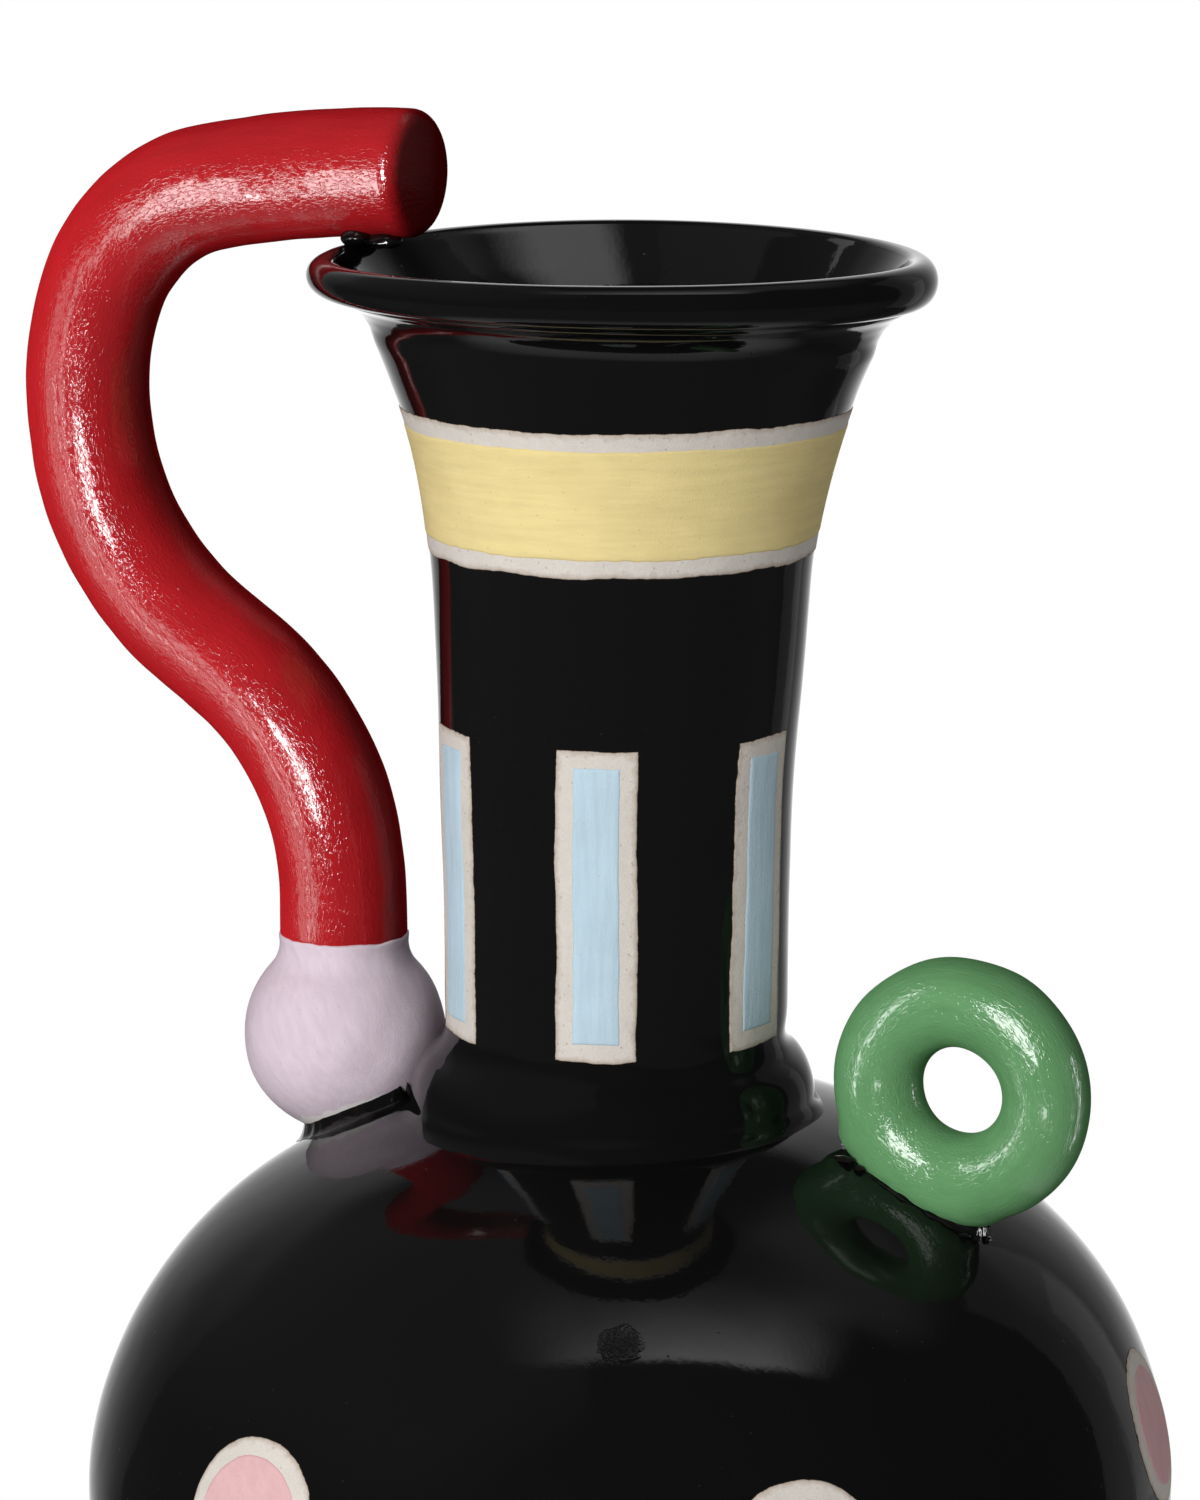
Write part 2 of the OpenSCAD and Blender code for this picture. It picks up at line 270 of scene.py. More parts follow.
def bare_clay():
    """Matte pale clay: fine grain, scattered dark specks, and brown staining by its edge attribute."""
    material, tree, surface = finish("bare_clay", 0.85, 0.3)
    coordinates = own_place(tree)
    mottle = noise(tree, coordinates, 130.0)
    grain = noise(tree, coordinates, 2200.0, detail=2.0)
    pale = ramp(tree, mottle, (0.3, deeper(clay_colour, 0.93)), (0.65, clay_colour))
    grained = blend(tree, 0.22, pale, levels(tree, grain, (0.3, 0.6), (0.6, 1.0)), "MULTIPLY")
    specks = levels(tree, cells(tree, coordinates, 420.0), (0.08, 0.55), (0.16, 0.0))
    speckled = blend(tree, specks, grained, clay_stain)
    worn = maths(tree, "MULTIPLY", edge_distance(tree), noise(tree, coordinates, 500.0))
    stain = levels(tree, worn, (0.12, 0.9), (0.3, 0.5), (0.9, 0.0))
    chipped = levels(tree, worn, (0.12, 1.0), (0.19, 0.0))
    stained = blend(tree, stain, speckled, clay_stain)
    wire(tree, surface, {
        "Base Color": blend(tree, chipped, stained, clay_scorch),
        "Normal": bump(tree, grain, 0.00012, bump(tree, mottle, 0.0003))})
    return material


def mark_edge(piece, distance):
    """Stores how far each point lies from the painted area's edge, in millimetres, for the finish."""
    attribute = piece.data.attributes.new("edge", "FLOAT", "POINT")
    attribute.data.foreach_set("value", np.asarray(distance, dtype=np.float32).ravel())


clay = bare_clay()
foot_high = box_mm("foot_ring")[1]
foot_outer = foot_high[0]
foot_inner = foot_outer - foot_w
foot_top = foot_high[2] + foot_sink
foot_profile = np.concatenate([
    [[foot_inner, foot_top]],
    arc((foot_inner + foot_bevel, foot_bevel), foot_bevel, 180.0, 270.0, 0.2),
    arc((foot_outer - foot_bevel, foot_bevel), foot_bevel, 270.0, 360.0, 0.2),
    [[foot_outer, foot_top]]])
foot_profile = even(np.concatenate([foot_profile, foot_profile[:1]]), foot_points)[:-1]
foot_rows = lathe(foot_profile)
foot_rows[..., :2] *= 1.0 + foot_wobble * ripple(foot_rows, foot_wobble_length, 3)[..., None] / foot_outer
turned_foot = skin("turned_foot", foot_rows, "loop")
mark_edge(turned_foot, np.full(len(turned_foot.data.vertices), far_from_edge))
place(turned_foot, clay, "bare_clay", "foot_ring")

# Belly. The round body with its floor, built up by hand from coils, scraped thin and glazed black inside
# and out. A high gloss glaze with slow waves, pinholes and specks; open at the top under the neck.
belly_wall = 7.5
floor_thick = 9.0
floor_round = 3.0
floor_out = 77.0
floor_middle = 20.0
side_bend = 96.0
shoulder_turn = 56.8
belly_hole = 44.0
belly_rows_out = 210
belly_rows_in = 110
belly_lean = ((0.0, 0.0), (185.0, 2.0), (250.0, 2.7), (292.0, 2.3))
belly_slack = 0.8
slack_from = (190.0, 225.0)
slack_to = (255.0, 285.0)
slack_kept = 0.5
belly_wave = 0.3
belly_wave_length = 70.0
black_colour = (0.0041, 0.0041, 0.0042)
speck_colour = (0.05, 0.036, 0.024)
flaw_spot = (0.0475, -0.0990, 0.2576)
flaw_r = 0.0042
flaw_soft = 0.0014
flaw_fray = 0.004
flaw_depth = 0.0007


def smooth_step(value, low, high):
    """Goes from 0 at the low value to 1 at the high one, level at both ends."""
    share = np.clip((value - low) / (high - low), 0.0, 1.0)
    return share * share * (3.0 - 2.0 * share)


def outward(points):
    """Unit vectors that point straight away from the vertical axis."""
    flat = points * np.array([1.0, 1.0, 0.0])
    return flat / np.maximum(np.linalg.norm(flat, axis=-1, keepdims=True), 1e-6)


def pushed(points, distance):
    """Points moved so far straight away from the vertical axis."""
    return points + distance[..., None] * outward(points)


def wander(height, stops):
    """How far aside the hand-built wall stands at a height: smooth steps between (height, shift) stops."""
    shift = np.full(height.shape, stops[0][1])
    for (low, here), (high, there) in zip(stops[:-1], stops[1:]):
        shift = shift + (there - here) * smooth_step(height, low, high)
    return shift


def belly_form(points):
    """
    Hand-built belly: slow waves push the wall in and out, the shoulder is a little slack, and the wall
    wanders aside of the foot on its way up.
    """
    height = points[..., 2]
    slack = smooth_step(height, *slack_from) * (1.0 - slack_kept * smooth_step(height, *slack_to))
    wave = belly_wave * ripple(points, belly_wave_length, 11) - belly_slack * slack
    return pushed(points, wave) + wander(height, belly_lean)[..., None] * across


def soften(line, reach, count):
    """An even line with its bends eased: each point is a mean of its neighbours, weighted by a bell curve."""
    line = even(line, count)
    step = np.linalg.norm(line[1] - line[0])
    half = int(3.0 * reach / step) + 1
    weight = np.exp(-0.5 * (np.arange(-half, half + 1) * step / reach) ** 2)
    weight /= weight.sum()
    before = 2.0 * line[0] - line[half:0:-1]
    after = 2.0 * line[-1] - line[-2:-half - 2:-1]
    longer = np.concatenate([before, line, after])
    return np.stack([np.convolve(longer[:, axis], weight, "valid") for axis in range(2)], axis=1)


def stretched(tree, coordinates, scale):
    """Coordinates scaled apart for each axis, so that a noise on them turns into strokes."""
    return node(tree, "Mapping", {"Vector": coordinates, "Scale": scale}).outputs["Vector"]


def black_glaze():
    """
    Deep black gloss: slow waves, a fine skin that frays reflections, pinholes, patches of brown dust
    specks, and one blistered flaw within a radius of its spot, its edge frayed by noise.
    """
    material, tree, surface = finish("black_glaze", 0.05, 0.22)
    coordinates = own_place(tree)
    patches = levels(tree, noise(tree, coordinates, 9.0), (0.56, 0.0), (0.7, 1.0))
    dust = levels(tree, cells(tree, coordinates, 260.0), (0.03, 0.8), (0.08, 0.0))
    speckled = blend(tree, 1.0, dust, patches, "MULTIPLY")
    pinholes = levels(tree, cells(tree, coordinates, 130.0), (0.02, 0.0), (0.07, 1.0))
    brushed = noise(tree, stretched(tree, coordinates, (1.0, 1.0, 0.35)), 700.0, detail=2.0)
    aside = node(tree, "VectorMath", {0: coordinates, 1: flaw_spot}, operation="DISTANCE").outputs["Value"]
    frayed = maths(tree, "MULTIPLY_ADD", noise(tree, coordinates, 450.0), flaw_fray, aside)
    flaw = levels(tree, frayed, (flaw_r, 1.0), (flaw_r + flaw_soft, 0.0))
    blisters = blend(tree, 1.0, noise(tree, coordinates, 1100.0), flaw, "MULTIPLY")
    relief = bump(tree, noise(tree, coordinates, 60.0, detail=1.0), 0.00012)
    relief = bump(tree, brushed, 0.000015, relief)
    relief = bump(tree, blisters, flaw_depth, relief)
    wire(tree, surface, {
        "Base Color": blend(tree, speckled, black_colour, speck_colour),
        "Roughness": levels(tree, noise(tree, coordinates, 25.0), (0.35, 0.035), (0.7, 0.075)),
        "Normal": bump(tree, pinholes, 0.00004, relief)})
    return material


belly_low, belly_high = box_mm("upper_belly")
belly_r = belly_high[0]
belly_z = belly_low[2]
floor_z = foot_high[2]
low_drop = belly_z - floor_z
low_in = belly_r - floor_out
low_bend = (low_in ** 2 + low_drop ** 2) / (2.0 * low_in)
low_c = (belly_r - low_bend, belly_z)
low_turn = np.degrees(np.arcsin(low_drop / low_bend))
low_turn_in = np.degrees(np.arcsin((low_drop - floor_thick) / (low_bend - belly_wall)))
side_c = (belly_r - side_bend, belly_z)
crown_bend = side_bend + side_c[0] / np.cos(np.radians(shoulder_turn))
crown_c = (0.0, belly_z - side_c[0] * np.tan(np.radians(shoulder_turn)))
hole_turn = np.degrees(np.arccos(belly_hole / crown_bend))
hole_turn_in = np.degrees(np.arccos(belly_hole / (crown_bend - belly_wall)))
belly_outside = np.concatenate([
    [[floor_middle, floor_z], [floor_out - floor_round, floor_z]],
    arc(low_c, low_bend, -low_turn + 0.5, -0.2),
    arc(side_c, side_bend, 0.0, shoulder_turn),
    arc(crown_c, crown_bend, shoulder_turn + 0.2, hole_turn)])
belly_inside = np.concatenate([
    arc(crown_c, crown_bend - belly_wall, hole_turn_in, shoulder_turn),
    arc(side_c, side_bend - belly_wall, shoulder_turn - 0.4, 0.4),
    arc(low_c, low_bend - belly_wall, 0.0, -low_turn_in),
    [[floor_middle, floor_z + floor_thick]]])
belly_profile = np.concatenate([
    soften(belly_outside, 2.0, belly_rows_out), soften(belly_inside, 3.0, belly_rows_in)])
glazed_belly = skin("glazed_belly", belly_form(lathe(belly_profile)))
black = black_glaze()
place(glazed_belly, black, "black_glaze", "floor_slab", "lower_belly", "upper_belly", "shoulder")

# Neck. A tall tube with a thick coil pressed round its foot, flaring at the top, in the same black glaze.
# It is thumbed onto the shoulder, so its foot is a little uneven and the joint is a soft crease.
neck_sides = 224
neck_rows_out = 325
neck_rows_in = 110
neck_r = 44.6
neck_wall = 6.5
neck_sunk = 5.0
collar_r = 53.2
collar_bend = 15.6
collar_z = 291.0
collar_fillet = 8.7
collar_end = (304.0, 316.0)
crease_round = 5.0
crease_sink = 0.35
crease_depth = 2.5
slow_bend = 1700.0
slow_z = 310.1
slow_turn = 3.88
quick_bend = 183.0
flare_top = 486.5
flare_inside_rise = 3.0
flare_curl = ((64.6, 490.4), (66.6, 493.4), (69.4, 495.9), (72.6, 497.6))
flare_edge = ((74.0, 498.9), (74.5, 500.5), (72.5, 502.0), (68.5, 499.0), (64.6, 493.8))
flare_behind = 2.5
lip_r = 75.3
lip_z = 503.9
lip_roll = 4.7
lip_tall = 5.2
lip_foot = 440.0
lip_warp = 0.8
lip_swell = 0.13
swell_way = (0.34, 0.94)
lip_raise = 1.0
warp_reach = (474.0, 497.0)
tilt_end = 312.0
neck_lean = ((292.0, -2.5), (314.0, -1.5), (360.0, -1.4), (430.0, -0.2), (470.0, 0.8), (503.0, 0.0))
neck_wave = 0.22
neck_wave_length = 55.0
collar_wave = 0.35
collar_wave_length = 26.0


def neck_form(points):
    """
    Hand-built neck: slow waves push the wall in and out, shorter ones dent the collar, the wall wanders
    aside, the collar's foot is pressed down to meet the shoulder, and the lip rises towards the front
    and the back, dips at the sides and is thicker on one side.
    """
    height = points[..., 2]
    by_collar = 1.0 - smooth_step(height, *collar_end)
    wave = neck_wave * ripple(points, neck_wave_length, 21)
    wave += collar_wave * by_collar * ripple(points, collar_wave_length, 22)
    placed = pushed(points, wave) + wander(height, neck_lean)[..., None] * across
    to_front = outward(points) @ toward_camera
    to_side = outward(points) @ across
    tilt = -collar_r / crown_bend * (neck_lean[0][1] - belly_lean[-1][1]) * to_side
    placed[..., 2] += tilt * (1.0 - smooth_step(height, crease_z, tilt_end))
    by_lip = smooth_step(height, *warp_reach)
    placed[..., 2] += by_lip * lip_warp * (2.0 * to_front ** 2 - 1.0)
    placed[..., 2] += by_lip * lip_raise * (1.0 - np.clip(to_front, 0.0, 1.0) ** 2)
    swell = lip_swell * (swell_way[0] * to_front + swell_way[1] * to_side)
    placed[..., 2] -= by_lip * swell * (lip_z + lip_tall - height)
    return placed


def neck_radius(height):
    """Radius of the neck's outside at a height, before the hand-built waves."""
    return np.interp(height, neck_outside[:, 1], neck_outside[:, 0])


def touching(first, first_r, second, second_r):
    """The outer one of the two points where two circles cross."""
    first, second = np.asarray(first), np.asarray(second)
    apart = np.linalg.norm(second - first)
    ahead = (second - first) / apart
    reach = (apart ** 2 + first_r ** 2 - second_r ** 2) / (2.0 * apart)
    aside = np.sqrt(first_r ** 2 - reach ** 2)
    return first + reach * ahead + aside * np.array([-ahead[1], ahead[0]])


crease_z = crown_c[1] + np.sqrt(crown_bend ** 2 - collar_r ** 2)
collar_c = (collar_r - collar_bend, collar_z)
crease_c = touching(
    collar_c, collar_bend + crease_round, crown_c, crown_bend - crease_sink + crease_round)
crease_start = np.degrees(np.arctan2(*(crease_c - collar_c)[::-1]))
crease_end = np.degrees(np.arctan2(*(crease_c - crown_c)[::-1]))
fillet_up = np.sqrt((collar_bend + collar_fillet) ** 2 - (neck_r + collar_fillet - collar_c[0]) ** 2)
fillet_c = (neck_r + collar_fillet, collar_z + fillet_up)
fillet_turn = np.degrees(np.arctan2(fillet_up, fillet_c[0] - collar_c[0]))
slow_c = (neck_r + slow_bend, slow_z)
quick_c = (slow_c[0] - (slow_bend - quick_bend) * np.cos(np.radians(slow_turn)),
           slow_c[1] + (slow_bend - quick_bend) * np.sin(np.radians(slow_turn)))
quick_turn = np.degrees(np.arcsin((flare_top - quick_c[1]) / quick_bend))
quick_rise_in = flare_top + flare_inside_rise - quick_c[1]
quick_turn_in = np.degrees(np.arcsin(quick_rise_in / (quick_bend + neck_wall)))
neck_outside = np.concatenate([
    arc(crown_c, crown_bend - crease_depth, crease_end - 1.6, crease_end - 1.5),
    arc(crease_c, crease_round, crease_end + 181.0, crease_start + 180.0, 0.3),
    arc(collar_c, collar_bend, crease_start, fillet_turn),
    arc(fillet_c, collar_fillet, 180.0 + fillet_turn, 180.0),
    arc(slow_c, slow_bend, 180.0, 180.0 - slow_turn),
    arc(quick_c, quick_bend, 180.0 - slow_turn - 0.3, 180.0 - quick_turn),
    flare_curl])
neck_inside = np.concatenate([
    arc(quick_c, quick_bend + neck_wall, 180.0 - quick_turn_in, 180.0 - slow_turn - 0.3),
    arc(slow_c, slow_bend + neck_wall, 180.0 - slow_turn, 180.0),
    [[neck_r - neck_wall, crease_z - neck_sunk]]])
neck_outside = soften(neck_outside, 0.8, neck_rows_out)
neck_inside = soften(neck_inside, 2.0, neck_rows_in)
in_mouth = neck_inside[:, 1] > lip_foot
neck_profile = np.concatenate([
    [[neck_r - neck_wall + 1.0, crease_z - neck_sunk - 1.0], [collar_r, crease_z - neck_sunk]],
    neck_outside,
    flare_edge,
    neck_inside[in_mouth] + (flare_behind, 0.0),
    neck_inside[~in_mouth]])
glazed_neck = skin("glazed_neck", neck_form(lathe(neck_profile, neck_sides)), "loop")
place(glazed_neck, black, "black_glaze", "neck_collar", "neck")

# Lip. A coil of clay rolled onto the flare's edge and smoothed down inside the mouth, in the same black
# glaze. Its outside meets the flare in a soft crease.
lip_turn = (262.0, 490.0)
lip_points = 120
lip_overlap = 12
lip_core = ((73.6, 500.2), (72.4, 501.6))
lip_tuck = (1.6, -1.3)
mouth_edge = 0.55
lip_roll_line = arc((0.0, 0.0), 1.0, *lip_turn, 0.06) * (lip_roll, lip_tall) + (lip_r, lip_z)
lip_line = soften(np.concatenate([lip_roll_line, neck_inside[:2]]), 0.7, lip_points)[:-2]
mouth_from = np.argmax(lip_line[:, 0] < lip_r - mouth_edge * lip_roll)
lip_end = mouth_from + lip_overlap
lip_profile = np.concatenate([
    lip_core[:1], lip_line[:lip_end], [lip_line[lip_end - 1] + lip_tuck], lip_core[1:]])
glazed_lip = skin("glazed_lip", neck_form(lathe(lip_profile, neck_sides)), "loop")
place(glazed_lip, black, "black_glaze", "rolled_lip")

# Mouth. The inside of the flare, smoothed down from the lip with a wet finger and glazed like the rest.
# A thin coat of its own over the neck's inner wall, which it meets below without a step.
mouth_coat = 0.05
mouth_rows = 90
mouth_thick = 3.5
mouth_core = (64.0, 493.0)
lip_coat = 0.2
coat_fade = 12.0
mouth_start = lip_line[mouth_from]
flare_inside = neck_inside[in_mouth]
coat_here = lip_coat * smooth_step(flare_inside[:, 1], lip_foot, lip_foot + coat_fade)
flare_inside = flare_inside - np.stack([coat_here, np.zeros_like(coat_here)], axis=1)
mouth_end = neck_inside[~in_mouth][:3] + [[0.0, 0.0], [0.1, 0.0], [1.0, 0.0]]
mouth_line = np.concatenate([lip_line[mouth_from:], flare_inside, mouth_end])
eased_share = smooth_step(np.linspace(0.0, 1.0, mouth_rows), 0.03, 0.1)[:, None]
mouth_face = even(mouth_line, mouth_rows) * (1.0 - eased_share)
mouth_face = mouth_face + soften(mouth_line, 3.0, mouth_rows) * eased_share - (mouth_coat, 0.0)
mouth_profile = np.concatenate([
    [mouth_start + (0.4, -0.3), mouth_start + (-0.7 * mouth_coat, 0.02)],
    mouth_face,
    flare_inside[:1:-1] + (mouth_thick, 0.0),
    [mouth_core]])
glazed_mouth = skin("glazed_mouth", neck_form(lathe(mouth_profile, neck_sides)), "loop")
place(glazed_mouth, black, "black_glaze", "neck_flare")

# Slip under the ball. Black liquid clay that glues the ball to the shoulder, squeezed out into a hollow
# collar and glazed; its upper edge is ragged where the ball's paint stops.
slip_colour = (0.003, 0.003, 0.0032)
slip_thin_colour = (0.012, 0.009, 0.007)
slip_below = 2.0
ball_swell = 1.0
ball_sag = 1.4
ball_pad = {"foot": (19.0, 19.0), "lap": 4.5, "height": 5.4, "uneven": 0.45, "lean": 0.62}
dome_middle = np.array([crown_c[0], 0.0, crown_c[1]]) + belly_lean[-1][1] * across


def shoulder_point(along, side, turn, lift):
    """
    A point on the shoulder's dome: so many millimetres along the slope and to the side of the place
    where the dome's normal leans by the turn (radians) towards +X, lifted off the surface.
    """
    out = np.array([np.sin(turn), 0.0, np.cos(turn)])
    down = np.array([np.cos(turn), 0.0, -np.sin(turn)])
    sideways = np.array([0.0, 1.0, 0.0])
    facing = out + along[..., None] / crown_bend * down + side[..., None] / crown_bend * sideways
    facing /= np.linalg.norm(facing, axis=-1, keepdims=True)
    return dome_middle + (crown_bend + lift[..., None]) * facing


def joint_pad(turn, foot, lap, height, uneven, lean, seed):
    """
    Pad of squeezed-out slip on the shoulder, over an oval foot (half length, half width): from the foot's
    edge it falls off as a hollow curve to nothing one lap further out, with waves in its width and
    height. It leans so that it is thinner on the +X side, and it is closed below the surface. One row of
    points for each step from the middle out, and back underneath.
    """
    half_along, half_side = foot
    spin = full_turn(220)
    share = np.concatenate([np.linspace(0.06, 0.7, 8), np.linspace(0.74, 1.0, 26)])[:, None]
    foot_line = round_axis(half_along, spin, 0.0)
    waves = 0.35 * ripple(foot_line, 14.0, seed) + 0.15 * ripple(foot_line, 4.0, seed + 1)
    narrowing = lean * np.where(np.cos(spin) > 0.0, 1.7, 0.7) * np.cos(spin)
    wide = lap * (1.0 + uneven * waves - narrowing)
    along = share * (half_along + wide) * np.cos(spin)
    side = share * (half_side + wide) * np.sin(spin)
    foot_share = half_along / (half_along + wide)
    slope = np.clip((share - foot_share) / (1.0 - foot_share), -1.0, 1.0)
    fall = np.where(slope < 0.0, 1.0 - 0.6 * slope, (1.0 - np.clip(slope, 0.0, 1.0)) ** 2.2)
    flat = np.stack([along, side, np.zeros_like(along)], axis=-1)
    tall = height * (1.0 - lean * along / half_along + 0.18 * uneven * ripple(flat, 9.0, seed + 2))
    tall = tall + 0.3 * uneven * ripple(flat, 2.6, seed + 3)
    above = shoulder_point(along, side, turn, tall * fall - 0.25 * share ** 8)
    below = shoulder_point(along, side, turn, np.full(along.shape, -slip_below))
    return np.concatenate([below, above[::-1]])


def black_slip():
    """Glossy black slip: lumpy skin with a fine ripple, a little brown where it is thin."""
    material, tree, surface = finish("black_slip", 0.12)
    coordinates = own_place(tree)
    thin = noise(tree, coordinates, 180.0)
    wire(tree, surface, {
        "Base Color": ramp(tree, thin, (0.5, slip_colour), (0.8, slip_thin_colour)),
        "Roughness": levels(tree, noise(tree, coordinates, 500.0), (0.3, 0.08), (0.7, 0.2)),
        "Normal": bump(tree, noise(tree, coordinates, 260.0), 0.00025)})
    return material


slip = black_slip()
ball_low, ball_high = box_mm("handle_ball")
ball_x = 0.5 * (ball_low[0] + ball_high[0])
ball_r = 0.5 * (ball_high[1] - ball_low[1]) + ball_swell
ball_z = ball_high[2] - ball_r - ball_sag
ball_turn = np.arctan2(ball_x, ball_z - crown_c[1])
ball_joint = skin("ball_joint", joint_pad(ball_turn, **ball_pad, seed=31))
place(ball_joint, slip, "black_slip", "ball_slip")

# Ball. A solid clay ball under the handle's foot, brushed with matte lilac underglaze. It is rolled by
# hand and drawn up at the top into a short hollow neck that meets the rod.
rod_foot_r = 17.0
ball_fillet = 9.0
ball_points = 190
ball_sides = 160
ball_wave = 0.14
ball_wave_length = 16.0
ball_top_coat = 2.6
ball_top_wave = 0.22
ball_top_reach = 4.0
lilac_colour = (0.72, 0.6, 0.68)
lilac_dark = (0.5, 0.39, 0.46)
ball_rim_colour = (0.79, 0.75, 0.73)
ball_rim_share = 0.95
slip_reach = 4.7
slip_slant = 0.1


def matte_paint(name, colour, dark, stroke, depth, turn=(0.0, 0.0, 0.0), rim_colour=None, rim_share=0.55):
    """
    Matte brushed underglaze: long faint strokes, cloudy thickness, fine tooth and small dark specks, and
    a rim along its edge, by the edge attribute: deeper where the paint pooled, or of another colour.
    """
    material, tree, surface = finish(name, 0.62, 0.32)
    coordinates = own_place(tree)
    turned = node(tree, "Mapping", {"Vector": coordinates, "Rotation": turn}).outputs["Vector"]
    strokes = noise(tree, stretched(tree, turned, stroke), 1.0, detail=4.0, roughness=0.6)
    clouds = levels(tree, noise(tree, coordinates, 90.0), (0.35, 0.12), (0.6, 0.0))
    specks = levels(tree, cells(tree, coordinates, 330.0), (0.045, 0.5), (0.1, 0.0))
    rim = levels(tree, edge_distance(tree), (0.15, rim_share), (0.7, 0.0))
    toned = ramp(tree, strokes, (0.33, deeper(colour, 0.91)), (0.62, colour))
    toned = blend(tree, clouds, toned, dark)
    toned = blend(tree, specks, toned, dark)
    tooth = noise(tree, coordinates, 1800.0, detail=2.0)
    wire(tree, surface, {
        "Base Color": blend(tree, rim, toned, rim_colour or dark),
        "Normal": bump(tree, tooth, 0.0001, bump(tree, strokes, depth))})
    return material


fillet_rise = np.sqrt((ball_r + ball_fillet) ** 2 - (rod_foot_r + ball_fillet) ** 2)
fillet_slope = np.degrees(np.arctan2(fillet_rise, rod_foot_r + ball_fillet))
ball_top = ball_z + fillet_rise + ball_top_coat
ball_profile = np.concatenate([
    arc((0.0, ball_z), ball_r, -86.0, fillet_slope, 0.5),
    arc((rod_foot_r + ball_fillet, ball_z + fillet_rise), ball_fillet, 180.0 + fillet_slope, 180.0, 0.5),
    [[rod_foot_r + 0.3, ball_top], [rod_foot_r - 2.0, ball_top + 0.2]]])
ball_rows = lathe(soften(ball_profile, 0.5, ball_points), ball_sides)
ball_edge = ripple(ball_rows, 9.0, 42) + 0.5 * ripple(ball_rows, 3.0, 43)
by_top = smooth_step(ball_rows[..., 2], ball_top - ball_top_reach, ball_top)
ball_rows[..., 2] += ball_top_wave * ball_edge * by_top
ball_rows = pushed(ball_rows, ball_wave * ripple(ball_rows, ball_wave_length, 41))
ball_rows[..., 0] += ball_x
lilac_ball = skin("lilac_ball", ball_rows)
slip_top = slip_reach - slip_slant * (ball_rows[..., 0] - ball_x)
ragged = 0.5 * ripple(ball_rows, 2.6, 44) + 0.4 * ripple(ball_rows, 8.0, 45)
over_slip = np.linalg.norm(ball_rows - dome_middle, axis=-1) - crown_bend - slip_top + ragged
mark_edge(lilac_ball, np.append(over_slip, [far_from_edge, far_from_edge]))
lilac = matte_paint("lilac_underglaze", lilac_colour, lilac_dark, (500.0, 500.0, 90.0), 0.00003,
                    (0.3, 0.5, 0.0), ball_rim_colour, ball_rim_share)
place(lilac_ball, lilac, "lilac_underglaze", "handle_ball")

# Handle. A thick rod of clay bent by hand into an S, brushed red and covered in clear gloss. It rises from
# the ball, swings out, and comes back level over the lip, where it is cut off square with a soft edge.
rod_r = 16.6
rod_taper = (60.0, 190.0)
rod_tuck = 0.8
tuck_reach = (3.0, 6.0)
rod_start_lean = 90.7
rod_start_z = 319.2
rod_runs = ((17.4, 55.65, 71.1), (12.9, -76.2, 76.2), (0.0, -59.3, 47.2), (0.0, -11.0, 326.0))
rod_sides = 128
bend_ease = 4.0
tip_round = 4.2
tip_dome = 0.8
tip_rows = 9
rod_wave = 0.22
rod_wave_length = 38.0
rod_dent = 0.06
rod_dent_length = 11.0
red_colour = (0.43, 0.0125, 0.017)
red_dark = (0.27, 0.007, 0.009)
thin_shine = 0.3
thick_shine = 1.0
thick_gloss_from = 0.216
thick_gloss_over = 0.03
nowhere_thick = 9.0
outline_fade = (0.3, 0.6)
crosswise = np.array([0.0, 1.0, 0.0])


def bent_rod(start, heading, runs, step=1.0, fine_steps=8000, ease_steps=90):
    """
    Middle line of a rod in the plane y = 0: straight runs, each followed by a bend of so many degrees
    to the left (or right, if negative) at a radius, with the changes of bend eased by a bell curve.
    Gives points (x, z), the heading at each and the distance along.
    """
    lengths = np.array([[straight, np.radians(abs(turn)) * bend] for straight, turn, bend in runs]).ravel()
    curves = np.array([[0.0, np.sign(turn) / bend] for straight, turn, bend in runs]).ravel()
    ends = np.cumsum(lengths)
    places = np.linspace(0.0, ends[-1], int(ends[-1] / step))
    fine = np.linspace(0.0, ends[-1], fine_steps)
    width = fine[1] - fine[0]
    curve = curves[np.minimum(np.searchsorted(ends, fine), len(curves) - 1)]
    bell = np.exp(-0.5 * (np.arange(-ease_steps, ease_steps + 1) * width / bend_ease) ** 2)
    curve = np.convolve(np.pad(curve, ease_steps, mode="edge"), bell / bell.sum(), "valid")
    angle = np.radians(heading) + np.concatenate([[0.0], np.cumsum(curve[:-1]) * width])
    line = np.stack([np.cos(angle), np.sin(angle)], axis=1) * width
    line = np.asarray(start) + np.concatenate([[[0.0, 0.0]], np.cumsum(line[:-1], axis=0)])
    middle = np.stack([np.interp(places, fine, line[:, axis]) for axis in range(2)], axis=1)
    return middle, np.interp(places, fine, angle), places


def ease(tree, value, low, high, start=0.0, end=1.0, kind="SMOOTHSTEP"):
    """Goes from the start to the end as a value goes from low to high, and stays level beyond them."""
    inputs = {"Value": value, "From Min": low, "From Max": high, "To Min": start, "To Max": end}
    return node(tree, "MapRange", inputs, interpolation_type=kind).outputs["Result"]


